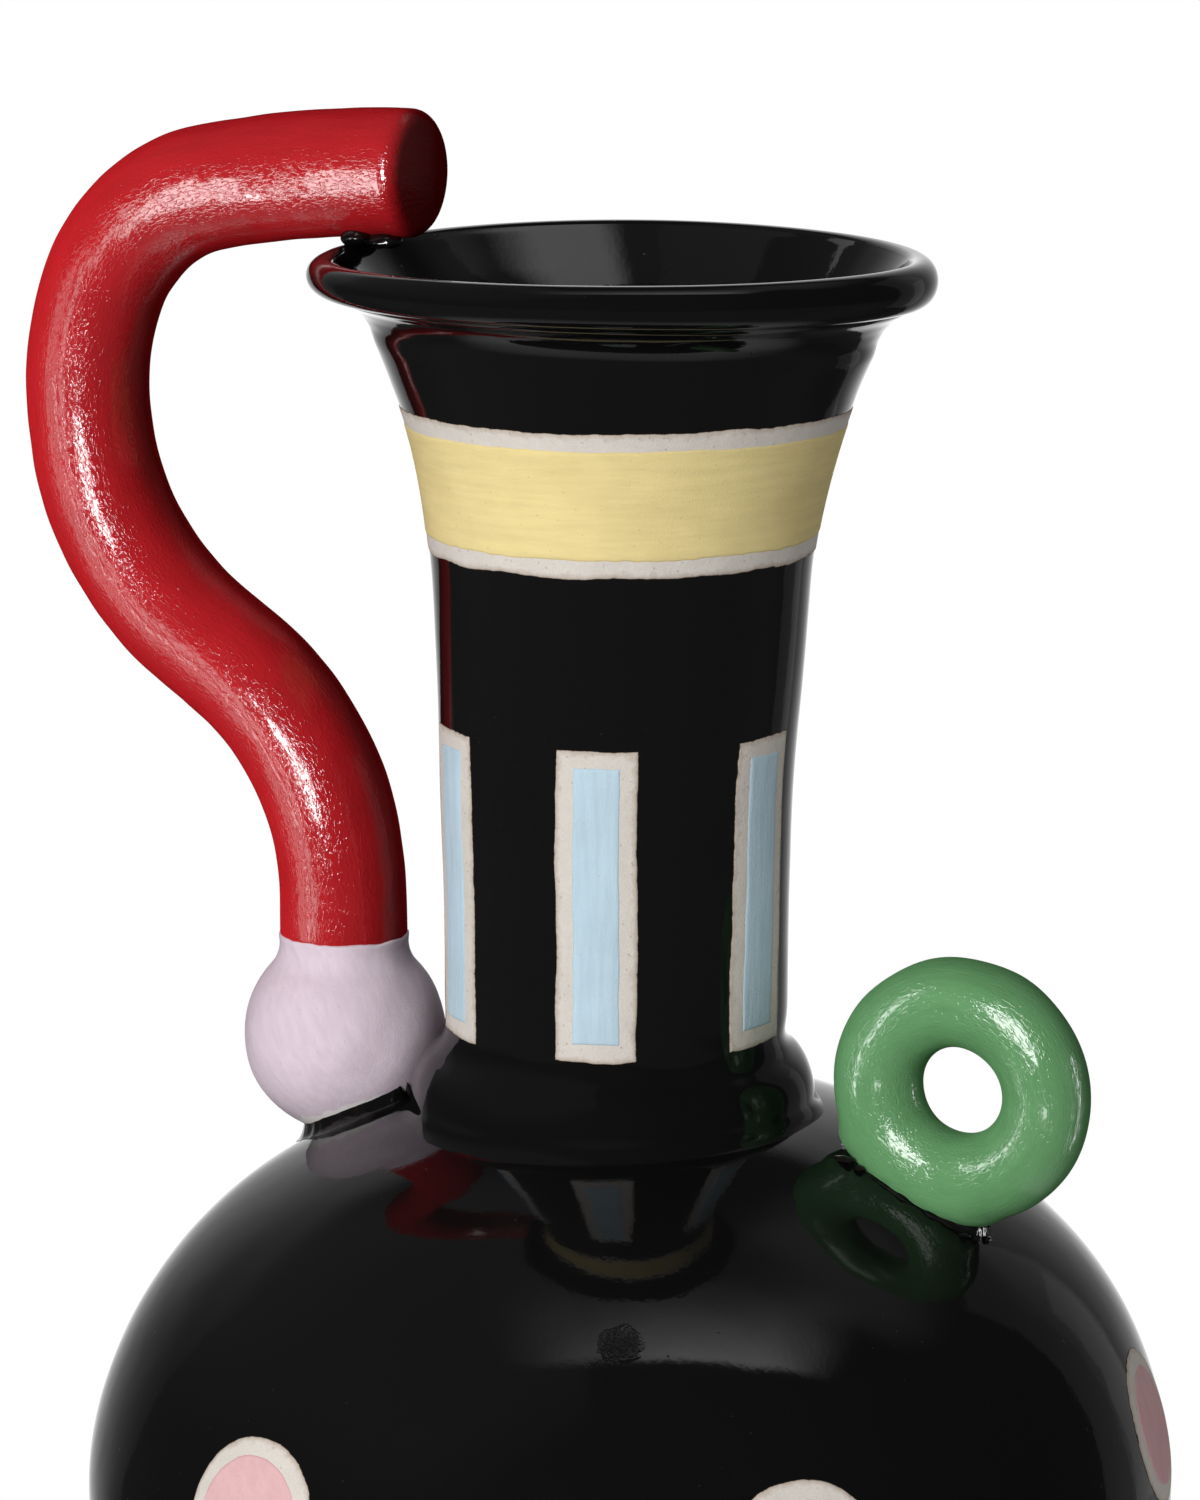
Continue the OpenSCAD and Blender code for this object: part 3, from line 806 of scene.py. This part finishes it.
def brushed_gloss(name, colour, dark, thick_from):
    """
    Brushed colour under clear gloss, on coordinates that follow the rod (along it, and across it both
    ways): long streaks of colour, and a fine grain of short strokes that breaks highlights into sparks.
    From so many metres along the rod the gloss lies thicker and shines more; it fades at the outline.
    """
    material, tree, surface = finish(name, 0.07, 0.3)
    rod = node(tree, "Attribute", attribute_name="rod").outputs["Vector"]
    along = node(tree, "SeparateXYZ", {"Vector": rod}).outputs["X"]
    coat = ease(tree, along, thick_from, thick_from + thick_gloss_over, thin_shine, thick_shine)
    facing = node(tree, "LayerWeight", {"Blend": 0.5}).outputs["Facing"]
    streaks = noise(tree, stretched(tree, rod, (60.0, 420.0, 420.0)), 1.0, detail=4.0, roughness=0.6)
    clouds = levels(tree, noise(tree, rod, 55.0), (0.38, 0.15), (0.62, 0.0))
    grain = noise(tree, stretched(tree, rod, (620.0, 1500.0, 1500.0)), 1.0, detail=2.0, distortion=0.4)
    sparks = levels(tree, grain, (0.48, 0.0), (0.7, 1.0))
    toned = ramp(tree, streaks, (0.34, deeper(colour, 0.9)), (0.62, colour))
    relief = bump(tree, noise(tree, rod, 160.0, detail=1.0), 0.00007)
    relief = bump(tree, streaks, 0.000025, relief)
    wire(tree, surface, {
        "Base Color": blend(tree, clouds, toned, dark),
        "Roughness": levels(tree, streaks, (0.3, 0.09), (0.65, 0.045)),
        "Specular IOR Level": maths(tree, "MULTIPLY", coat, ease(tree, facing, *outline_fade, 1.0, 0.0)),
        "Normal": bump(tree, sparks, 0.000056, relief)})
    return material


def follow_rod(piece, along, turn, radius):
    """Stores each point's place on the straightened rod: along it, and across it both ways, in metres."""
    places = np.broadcast_arrays(along, radius * np.cos(turn), radius * np.sin(turn))
    straight = np.stack(places, axis=-1).reshape(-1, 3) * MM
    missing = len(piece.data.vertices) - len(straight)
    straight = np.concatenate([straight, straight[[0, -1]][:missing]])
    attribute = piece.data.attributes.new("rod", "FLOAT_VECTOR", "POINT")
    attribute.data.foreach_set("vector", straight.astype(np.float32).ravel())


middle, heading, along_rod = bent_rod((ball_x, rod_start_z), rod_start_lean, rod_runs)
rod_length = along_rod[-1]
tip_angle = np.radians(np.linspace(0.0, 90.0, tip_rows)[1:])
tip_ring = np.linspace(1.0, 0.1, tip_rows)[1:]
body_along = along_rod[along_rod < rod_length - tip_round]
stations = np.concatenate([
    body_along,
    rod_length - tip_round + tip_round * np.sin(tip_angle),
    rod_length + tip_dome * (1.0 - tip_ring ** 2)])
thick = np.concatenate([
    rod_r + (rod_foot_r - rod_r) * (1.0 - smooth_step(body_along, *rod_taper))
    - rod_tuck * (1.0 - smooth_step(body_along, *tuck_reach)),
    rod_r - tip_round + tip_round * np.cos(tip_angle),
    (rod_r - tip_round) * tip_ring])[:, None]
rod_heading = np.interp(stations, along_rod, heading)
past_end = np.maximum(stations - rod_length, 0.0)
rod_x = np.interp(stations, along_rod, middle[:, 0]) + past_end * np.cos(rod_heading)
rod_z = np.interp(stations, along_rod, middle[:, 1]) + past_end * np.sin(rod_heading)
level = np.zeros_like(rod_x)
rod_middle = np.stack([rod_x, level, rod_z], axis=-1)[:, None, :]
rod_side = np.stack([-np.sin(rod_heading), level, np.cos(rod_heading)], axis=-1)[:, None, :]
rod_turn = full_turn(rod_sides)[None, :]
rod_out = np.cos(rod_turn)[..., None] * rod_side - np.sin(rod_turn)[..., None] * crosswise
rod_rows = rod_middle + thick[..., None] * rod_out
rod_push = rod_wave * ripple(rod_rows, rod_wave_length, 51) + rod_dent * ripple(rod_rows, rod_dent_length, 52)
red_handle = skin("red_handle", rod_rows + rod_push[..., None] * rod_out)
follow_rod(red_handle, stations[:, None], rod_turn, thick)
red = brushed_gloss("red_glaze", red_colour, red_dark, thick_gloss_from)
place(red_handle, red, "red_glaze", "handle")

# Slip over the rim. Four black glazed lumps between the handle's underside and the lip, squeezed out when
# the handle was pressed down. Each is given by its middle and its half sizes.
rim_lumps = ((-74.0, -1.0, 509.8, 5.0, 6.5, 2.6), (-73.0, -8.0, 511.0, 3.8, 2.8, 2.2),
             (-66.0, -5.0, 510.4, 5.0, 4.0, 2.2), (-75.0, 7.5, 510.5, 4.5, 3.5, 2.6))
lump_rows = 28
lump_sides = 44
lump_wave = 0.07


def lumps(beads, seed):
    """Closed skins of beads of slip: uneven balls, each with its middle and a half size for each axis."""
    up = np.radians(np.linspace(-86.0, 86.0, lump_rows))[:, None]
    unit = round_axis(np.cos(up), full_turn(lump_sides), np.sin(up))
    skins = []
    for number, bead in enumerate(np.array(beads)):
        swell = 1.0 + lump_wave * ripple(unit, 1.3, seed + number)
        skins.append(closed_rows(bead[:3] + unit * bead[3:] * swell[..., None]))
    return skins


def merged(skins):
    """Several closed skins as one: their points in one list, and their faces counted on to suit it."""
    starts = np.cumsum([0] + [len(points) for points, blocks in skins])
    faces = [block + start for start, (points, blocks) in zip(starts, skins) for block in blocks]
    return np.concatenate([points for points, blocks in skins]), faces


rim_joint = mesh_piece("rim_joint", *merged(lumps(rim_lumps, 60)))
place(rim_joint, slip, "black_slip", "rim_slip")

# Ring and its slip. An upright ring of rolled clay on the other shoulder, brushed green under clear gloss,
# stuck down with black slip that is squeezed out as a narrow bead round its foot.
ring_middle_r = 22.9
ring_rod = 11.3
ring_shift = 2.0
ring_drop = 0.2
ring_stations = 224
ring_sides = 96
ring_wave = 0.18
ring_wave_length = 22.0
ring_foot = (0.12, 0.04)
ring_foot_reach = 9.0
ring_pad = {"foot": (21.0, 9.4), "lap": 2.4, "height": 1.6, "uneven": 1.0, "lean": 0.0}
ring_beads = ((67.0, -9.2, 282.9, 3.0, 1.3, 0.9), (71.6, -9.4, 281.1, 1.5, 1.0, 0.8),
              (99.4, -7.4, 266.6, 1.8, 1.0, 0.7), (101.9, -4.8, 265.4, 1.2, 1.2, 0.8),
              (103.4, -1.0, 264.4, 0.9, 1.5, 0.7))
green_colour = (0.13, 0.312, 0.132)
green_dark = (0.06, 0.18, 0.06)

ring_low, ring_high = box_mm("ring")
ring_x = 0.5 * (ring_low[0] + ring_high[0]) + ring_shift
ring_z = ring_high[2] - ring_middle_r - ring_rod - ring_drop
ring_turn = np.arctan2(ring_x, ring_z - crown_c[1])
ring_bed = closed_rows(joint_pad(ring_turn, **ring_pad, seed=71))
ring_joint = mesh_piece("ring_joint", *merged([ring_bed, *lumps(ring_beads, 90)]))
place(ring_joint, slip, "black_slip", "ring_slip")

loop_turn = full_turn(ring_stations)[:, None]
tube_turn = full_turn(ring_sides)[None, :]
loop_out = np.stack([np.cos(loop_turn), np.zeros_like(loop_turn), np.sin(loop_turn)], axis=-1)
tube_out = np.cos(tube_turn)[..., None] * loop_out + np.sin(tube_turn)[..., None] * crosswise
ring_rows = np.array([ring_x, 0.0, ring_z]) + ring_middle_r * loop_out + ring_rod * tube_out
ring_rows = ring_rows + (ring_wave * ripple(ring_rows, ring_wave_length, 74))[..., None] * tube_out
from_dome = ring_rows - dome_middle
above_dome = np.linalg.norm(from_dome, axis=-1) - crown_bend + 0.5 * ripple(ring_rows, 5.0, 75)
by_foot = (1.0 - smooth_step(above_dome, 0.0, ring_foot_reach))[..., None]
slope_down = np.array([np.cos(ring_turn), 0.0, -np.sin(ring_turn)])
ring_along = (from_dome @ slope_down)[..., None] * slope_down
ring_rows = ring_rows + by_foot * (ring_foot[0] * ring_along + ring_foot[1] * from_dome * crosswise)
green_ring = skin("green_ring", ring_rows[:, ::-1], "loop")
follow_rod(green_ring, ring_middle_r * np.abs(loop_turn - np.pi), tube_turn[:, ::-1], ring_rod)
green = brushed_gloss("green_glaze", green_colour, green_dark, nowhere_thick)
place(green_ring, green, "green_glaze", "ring")

# Clay margins. Strips of bare clay left free of glaze round each painted area, with a wavy, chipped edge
# against the glaze and brown staining along it. The paint stands on them.
margin_w = 4.5
margin_lift = 0.22
coat_lift = 0.42
coat_bury = 0.35
coat_curl = 0.22
coat_sink = 1.5
band_low = 438.8
band_high = 467.4
band_sides = 640
band_cut_r = 50.0
band_cut = {"lengths": (17.0, 4.0), "share": 0.4}
stripe_low = 314.4
stripe_high = 386.4
stripe_w = 12.4
stripe_start = np.radians(-71.0)
stripe_count = 6
dot_r = 16.0
dot_sides = 200
dot_slope = np.radians(15.0)
dot_start = np.radians(-107.0)
dot_count = 6


def rim_lift(inset, lift):
    """Height of a coat over the wall: buried at its edge, and rounded up to full height within 0.8 mm."""
    return (lift + coat_bury) * (1.0 - np.exp(-inset / coat_curl)) - coat_bury


def cut_edge(points, rough, seed, lengths=(18.0, 4.5), share=0.35):
    """How far a hand-cut edge strays: long waves and a share of short ones, so many millimetres high."""
    return rough * (ripple(points, lengths[0], seed) + share * ripple(points, lengths[1], seed + 1))


def neck_coat(turn, height, lift):
    """Points on the neck's outside at an angle and a height, lifted off the wall."""
    return neck_form(round_axis(neck_radius(height) + lift, turn, height))


def pillow(front, back, inset, wrap=False):
    """
    Points, faces and edge distances of a closed thin coat, from a grid of points over its front and one
    under its back, which share their border; with wrap, the grid runs right round and only its first
    and last rows are borders.
    """
    rows, columns = front.shape[:2]
    index = np.arange(rows * columns).reshape(rows, columns)
    inner = np.zeros((rows, columns), dtype=bool)
    inner[1:-1, slice(None) if wrap else slice(1, -1)] = True
    under = index.copy()
    under[inner] = rows * columns + np.arange(inner.sum())
    if wrap:
        index = np.concatenate([index, index[:, :1]], axis=1)
        under = np.concatenate([under, under[:, :1]], axis=1)
    top = np.stack([index[:-1, :-1], index[:-1, 1:], index[1:, 1:], index[1:, :-1]], axis=-1)
    bottom = np.stack([under[:-1, :-1], under[1:, :-1], under[1:, 1:], under[:-1, 1:]], axis=-1)
    points = np.concatenate([front.reshape(-1, 3), back[inner]])
    edges = np.concatenate([inset.ravel(), inset[inner]])
    return points, [top.reshape(-1, 4), bottom.reshape(-1, 4)], edges


def inset_steps(width, count):
    """Places across a strip from 0 to its width, close together at both edges."""
    close = np.array([0.0, 0.1, 0.25, 0.5, 0.9])
    return np.concatenate([close, np.linspace(1.5, width - 1.5, count), width - close[::-1]])


def band_coat(low, high, lift, seed, rough):
    """Coat that runs right round the neck between two heights, with hand-cut wavy edges."""
    turn, steps = np.meshgrid(full_turn(band_sides), inset_steps(high - low, 12))
    share = steps / (high - low)
    edge_line = round_axis(band_cut_r, full_turn(band_sides), 0.0)
    wavy_low = cut_edge(edge_line, rough, seed, **band_cut)
    wavy_high = cut_edge(edge_line, rough, seed + 2, **band_cut)
    height = low + steps + (1.0 - share) * wavy_low + share * wavy_high
    inset = np.minimum(steps, high - low - steps)
    front = neck_coat(turn, height, rim_lift(inset, lift))
    return pillow(front, neck_coat(turn, height, -coat_sink), inset, wrap=True)


def stripe_coat(turn, low, high, width, lift, seed, rough):
    """Upright coat on the neck between two heights, so many millimetres wide, with wavy edges."""
    over, up = np.meshgrid(inset_steps(width, 12), inset_steps(high - low, 56))
    wavy = cut_edge(np.stack([over, up, np.zeros_like(up)], axis=-1), rough, seed)
    inset = np.minimum(np.minimum(up, high - low - up), np.minimum(over, width - over))
    height = low + up + wavy * (2.0 * up / (high - low) - 1.0)
    aside = over - 0.5 * width + wavy * (2.0 * over / width - 1.0)
    angle = turn + aside / neck_radius(height)
    front = neck_coat(angle, height, rim_lift(inset, lift))
    return pillow(front, neck_coat(angle, height, -coat_sink), inset)


def dot_coat(turn, radius, lift, seed, rough):
    """Round coat on the belly's side: rows of points from its middle out, and back under the wall."""
    spin = full_turn(dot_sides)
    inset = np.concatenate([np.linspace(radius - 0.4, 1.4, 11), [0.9, 0.5, 0.25, 0.1, 0.0]])
    inset = np.broadcast_to(inset[:, None], (len(inset), dot_sides))
    wavy = cut_edge(round_axis(radius, spin, 0.0), rough, seed)
    away = (radius - inset) * (1.0 + wavy / radius)
    away = np.concatenate([away, away[-2::-1]])
    lifted = np.concatenate([rim_lift(inset, lift), np.full(inset[1:].shape, -coat_sink)])
    slope = dot_slope + away * np.sin(spin) / side_bend
    around = turn + away * np.cos(spin) / (side_c[0] + side_bend * np.cos(slope))
    reach = side_c[0] + (side_bend + lifted) * np.cos(slope)
    height = side_c[1] + (side_bend + lifted) * np.sin(slope)
    rows = belly_form(round_axis(reach, around, height))
    depth = np.concatenate([inset, inset[-2::-1]])[::-1]
    return (*closed_rows(rows[::-1]), np.append(depth, [depth.max(), depth.max()]))


def coat_piece(name, coats):
    """One object from coats given as points, faces and edge distances, which are kept for its finish."""
    piece = mesh_piece(name, *merged([coat[:2] for coat in coats]))
    mark_edge(piece, np.concatenate([coat[2] for coat in coats]))
    return piece


stripe_turns = stripe_start + 2.0 * np.pi * np.arange(stripe_count) / stripe_count
dot_turns = dot_start + 2.0 * np.pi * np.arange(dot_count) / dot_count
stripe_margins = [
    stripe_coat(turn, stripe_low - margin_w, stripe_high + margin_w, stripe_w + 2.0 * margin_w,
                margin_lift, 81 + 7 * number, 0.2) for number, turn in enumerate(stripe_turns)]
band_margin = band_coat(band_low - margin_w, band_high + margin_w, margin_lift, 201, 0.22)
dot_margins = [
    dot_coat(turn, dot_r + margin_w, margin_lift, 151 + 7 * number, 0.22)
    for number, turn in enumerate(dot_turns)]
margin_clay = coat_piece("margin_clay", [*stripe_margins, band_margin, *dot_margins])
place(margin_clay, clay, "bare_clay", "clay_margins")

# Yellow band. Matte underglaze brushed round the upper neck on its strip of bare clay, with long strokes
# that follow the band and a slightly raised, uneven edge.
yellow_colour = (0.81, 0.665, 0.31)
yellow_dark = (0.5, 0.38, 0.14)
band_paint = coat_piece("band_paint", [band_coat(band_low, band_high, coat_lift, 221, 0.2)])
yellow = matte_paint("yellow_underglaze", yellow_colour, yellow_dark, (45.0, 45.0, 520.0), 0.0001)
place(band_paint, yellow, "yellow_underglaze", "yellow_band")

# Blue stripes. Six upright brush strokes of matte pale blue underglaze on the lower neck, each on its own
# patch of bare clay. The bristles leave fine lines along each stroke.
blue_colour = (0.515, 0.665, 0.76)
blue_dark = (0.3, 0.4, 0.47)
stripe_paint = coat_piece("stripe_paint", [
    stripe_coat(turn, stripe_low, stripe_high, stripe_w, coat_lift, 241 + 7 * number, 0.16)
    for number, turn in enumerate(stripe_turns)])
blue = matte_paint("blue_underglaze", blue_colour, blue_dark, (520.0, 520.0, 45.0), 0.00016)
place(stripe_paint, blue, "blue_underglaze", "blue_stripes")

# Pink dots. A row of six round dots of matte pink underglaze on the belly's side, each on its own round
# patch of bare clay. They are brushed slantwise.
pink_colour = (0.73, 0.45, 0.46)
pink_dark = (0.56, 0.3, 0.3)
pink_slant = (0.0, 0.6, 0.4)
dot_paint = coat_piece("dot_paint", [
    dot_coat(turn, dot_r, coat_lift, 301 + 7 * number, 0.2) for number, turn in enumerate(dot_turns)])
pink = matte_paint("pink_underglaze", pink_colour, pink_dark, (380.0, 380.0, 60.0), 0.0001, pink_slant)
place(dot_paint, pink, "pink_underglaze", "pink_dots")

# Floor. A plain pale round sheet that the vase stands on, which fades out at its rim into the white.
# It is matte card, and it belongs to the studio and not to the part.
floor_radius = 460.0
floor_sheet = 2.0
floor_hub = 5.0
floor_rows = 30
floor_sides = 96
floor_colour = (0.88, 0.88, 0.88, 1.0)
floor_fade = (0.2, 0.455)
floor_reach = np.linspace(floor_hub, floor_radius, floor_rows)
floor_profile = np.concatenate([
    np.stack([floor_reach, np.full(floor_rows, -floor_sheet)], axis=1),
    np.stack([floor_reach[::-1], np.zeros(floor_rows)], axis=1)])
floor = skin("floor", lathe(floor_profile, floor_sides))
floor_finish, tree, surface = finish("floor_sheet", 0.9, 0.2)
surface.inputs["Base Color"].default_value = floor_colour
coordinates = own_place(tree)
far = node(tree, "VectorMath", {0: coordinates}, operation="LENGTH").outputs["Value"]
depth = node(tree, "SeparateXYZ", {"Vector": coordinates}).outputs["Z"]
upper = maths(tree, "GREATER_THAN", depth, -0.5 * floor_sheet * MM)
wire(tree, surface, {"Alpha": maths(tree, "MULTIPLY", ease(tree, far, *floor_fade, 1.0, 0.0), upper)})
floor.data.materials.append(floor_finish)

# Studio light. A white room seen by the camera; reflections see dim surroundings and big sheets overhead,
# behind and on the left, each shaded over its face. Lamps are tied to pieces: wide ones carry the shading
# and fill the back and the floor, and small ones put the highlights on the handle, the ring and the glaze.
lamp_aim = 0.35
plain_distance = 2.2
haze_bearings = np.radians([92.0, 108.0, 142.0, 158.0])
haze_heights = np.radians([37.0, 53.0, 58.0, 74.0])
glow_bearings = np.radians([130.0, 90.0])
glow_heights = np.radians([-6.0, -16.0])
room_dim = 0.05
room_fill = 0.08
glow_strength = 0.1
haze_strength = 0.25
white = (1.0, 1.0, 1.0, 1.0)


def camera_parts(tree, vector):
    """The parts of a vector to the camera's right, away from it, and up."""
    turned = node(tree, "VectorRotate", {"Vector": vector, "Angle": -camera_turn}, rotation_type="Z_AXIS")
    return node(tree, "SeparateXYZ", {"Vector": turned.outputs["Vector"]}).outputs


def product(tree, *factors):
    """All factors multiplied."""
    result = factors[0]
    for factor in factors[1:]:
        result = maths(tree, "MULTIPLY", result, factor)
    return result


def window(tree, value, rise_from, rise_to, fall_from, fall_to):
    """Rises from 0 to 1 between the first two values, and falls back to 0 between the last two."""
    return product(tree, ease(tree, value, rise_from, rise_to), ease(tree, value, fall_to, fall_from))


def soft_box(name, turn, height, distance, size, power, pieces, highlight=True):
    """
    Area lamp at a bearing from the camera's side and a height angle (degrees), facing the vase's middle.
    It shows either only as a highlight on some pieces, or only as plain light on them.
    """
    lamp = bpy.data.lights.new(name, "AREA")
    lamp.shape = "RECTANGLE"
    lamp.size, lamp.size_y = size
    lamp.energy = power
    holder = bpy.data.objects.new(name, lamp)
    turn, height = np.radians(turn), np.radians(height)
    level = np.cos(turn) * toward_camera + np.sin(turn) * across
    away = np.cos(height) * level + np.sin(height) * upward
    holder.location = lamp_aim * upward + distance * away
    holder.rotation_euler = (np.pi / 2 - height, 0.0, camera_turn + turn)
    holder.visible_camera = False
    holder.visible_glossy = highlight
    holder.visible_diffuse = not highlight
    bpy.context.scene.collection.objects.link(holder)
    receivers = bpy.data.collections.new(name)
    for piece in pieces:
        receivers.objects.link(piece)
    holder.light_linking.receiver_collection = receivers
    return lamp


def top_shade(tree, to_right, to_back, up):
    """Brightest along the front edge, where it ends softly; fades out to the back and to both sides."""
    depth = ease(tree, to_back, 2.0, -1.6, kind="LINEAR")
    front_end = ease(tree, to_back, -2.0, -1.62)
    return product(tree, window(tree, to_right, -2.7, 1.1, 2.2, 4.4), front_end, depth, depth)


def mouth_shade(tree, to_right, to_back, up):
    """Full over a patch to the right of the middle, with a firm left end and a soft right end."""
    return maths(tree, "ADD", 0.07, window(tree, to_right, -0.1, 0.75, 2.1, 3.7))


def haze_shade(tree, to_right, to_back, up):
    """Fades out at the foot, the top and both ends of a sheet on the left."""
    return product(tree, window(tree, up, 0.4, 2.6, 4.4, 5.6), window(tree, to_back, -3.8, -1.6, 2.4, 3.8))


def back_shade(tree, to_right, to_back, up):
    """Brightest straight behind the vase: falls off by e for each 1.08 m aside, stronger low down."""
    aside = maths(tree, "ABSOLUTE", to_right)
    fall = maths(tree, "EXPONENT", maths(tree, "MULTIPLY", aside, -1.0 / 1.08))
    low = maths(tree, "ADD", 1.0, maths(tree, "MULTIPLY", 0.75, ease(tree, up, 0.4, -0.7)))
    return product(tree, fall, low, ease(tree, up, 2.9, 2.1))


world = bpy.data.worlds.new("studio")
world.use_nodes = True
bpy.context.scene.world = world
room = world.node_tree
to_right, to_back, up = camera_parts(room, node(room, "TexCoord").outputs["Generated"])
bearing = maths(room, "ARCTAN2", to_right, maths(room, "MULTIPLY", to_back, -1.0))
turned_away = maths(room, "ABSOLUTE", bearing)
rise = maths(room, "ARCSINE", up)
floor_glow = product(
    room, ease(room, turned_away, *glow_bearings), ease(room, rise, *glow_heights), glow_strength)
right_haze = product(
    room, window(room, bearing, *haze_bearings), window(room, rise, *haze_heights), haze_strength)
surroundings = maths(room, "ADD", maths(room, "ADD", room_dim, floor_glow), right_haze)
seen, mirrored, soft_fill = (
    node(room, "Background", {"Color": white, "Strength": strength}).outputs[0]
    for strength in (1.0, surroundings, room_fill))
path = node(room, "LightPath").outputs
lit = node(room, "MixShader", {0: path["Is Glossy Ray"], 1: soft_fill, 2: mirrored}).outputs[0]
mixed = node(room, "MixShader", {0: path["Is Camera Ray"], 1: lit, 2: seen}).outputs[0]
wire(room, room.nodes["World Output"], {"Surface": mixed})

black_pieces = (glazed_belly, glazed_neck, glazed_lip, glazed_mouth)
painted_pieces = (turned_foot, lilac_ball, green_ring, margin_clay, band_paint, stripe_paint, dot_paint)
slip_pieces = (ball_joint, rim_joint, ring_joint)
right_lit = black_pieces + painted_pieces + slip_pieces + (floor,)
raised_pieces = (lilac_ball, green_ring)
flat_pieces = tuple(piece for piece in right_lit if piece not in raised_pieces)
plain_lamps = (
    ("key", -29.0, 14.0, 1.3, 56.0, right_lit),
    ("right_fill", 85.0, 15.0, 1.3, 12.0, flat_pieces),
    ("raised_fill", 85.0, 15.0, 1.3, 6.0, raised_pieces),
    ("back_fill", 180.0, 8.0, 1.3, 34.0, right_lit + (red_handle,)),
    ("floor_fill", 0.0, 90.0, 2.0, 30.0, (floor,)),
    ("handle_key", -40.0, 14.0, 1.3, 57.0, (red_handle,)),
    ("handle_fill", -92.0, 32.0, 1.3, 11.0, (red_handle,)))
highlight_lamps = (
    ("handle_front", -26.0, 5.0, 1.6, (0.5, 0.42), 33.0, (red_handle, rim_joint)),
    ("handle_top", -55.0, -8.0, 1.6, (0.24, 1.1), 5.7, (red_handle, rim_joint)),
    ("handle_side", -76.0, -8.0, 1.6, (0.56, 0.75), 4.4, (red_handle, ball_joint)),
    ("handle_left", -65.0, -14.0, 1.6, (0.13, 0.7), 3.0, (red_handle,)),
    ("ring_front", -14.0, 17.0, 1.6, (0.7, 0.8), 54.0, (green_ring,)),
    ("ring_left", -69.0, -3.0, 1.6, (0.3, 2.4), 38.0, (green_ring,)),
    ("ring_low", -6.0, -19.0, 1.6, (0.5, 0.16), 3.5, (green_ring,)),
    ("ring_right", 88.0, -12.0, 1.6, (0.2, 1.5), 12.0, (green_ring, ring_joint)),
    ("mouth_back", -131.0, 45.0, 2.0, (0.5, 0.45), 0.8, (glazed_mouth,)),
    ("side_wide", 126.5, 7.0, 2.0, (0.86, 2.2), 0.68, black_pieces),
    ("side_edge", 132.5, -2.0, 2.0, (0.34, 1.2), 0.15, black_pieces))
shaded_sheets = (
    ("top_sheet", 0.0, 90.0, 6.0, (9.0, 5.0), 3.0, (glazed_belly, glazed_lip), top_shade),
    ("mouth_sheet", 0.0, 90.0, 6.0, (9.0, 5.0), 3.0, (glazed_mouth,), mouth_shade),
    ("left_sheet", -90.0, 40.0, 3.4, (8.0, 6.0), 0.11, black_pieces, haze_shade),
    ("back_sheet", 180.0, 10.0, 3.0, (8.0, 5.0), 1.35, black_pieces + slip_pieces, back_shade))
for name, turn, height, width, power, pieces in plain_lamps:
    soft_box(name, turn, height, plain_distance, (width, width), power, pieces, highlight=False)
for lamp_row in highlight_lamps:
    soft_box(*lamp_row)
for name, turn, height, distance, size, glow, pieces, shade in shaded_sheets:
    sheet = soft_box(name, turn, height, distance, size, glow * np.pi * size[0] * size[1], pieces)
    sheet.use_nodes = True
    tree = sheet.node_tree
    places = camera_parts(tree, node(tree, "NewGeometry").outputs["Position"])
    wire(tree, tree.nodes["Emission"], {"Strength": shade(tree, *places)})
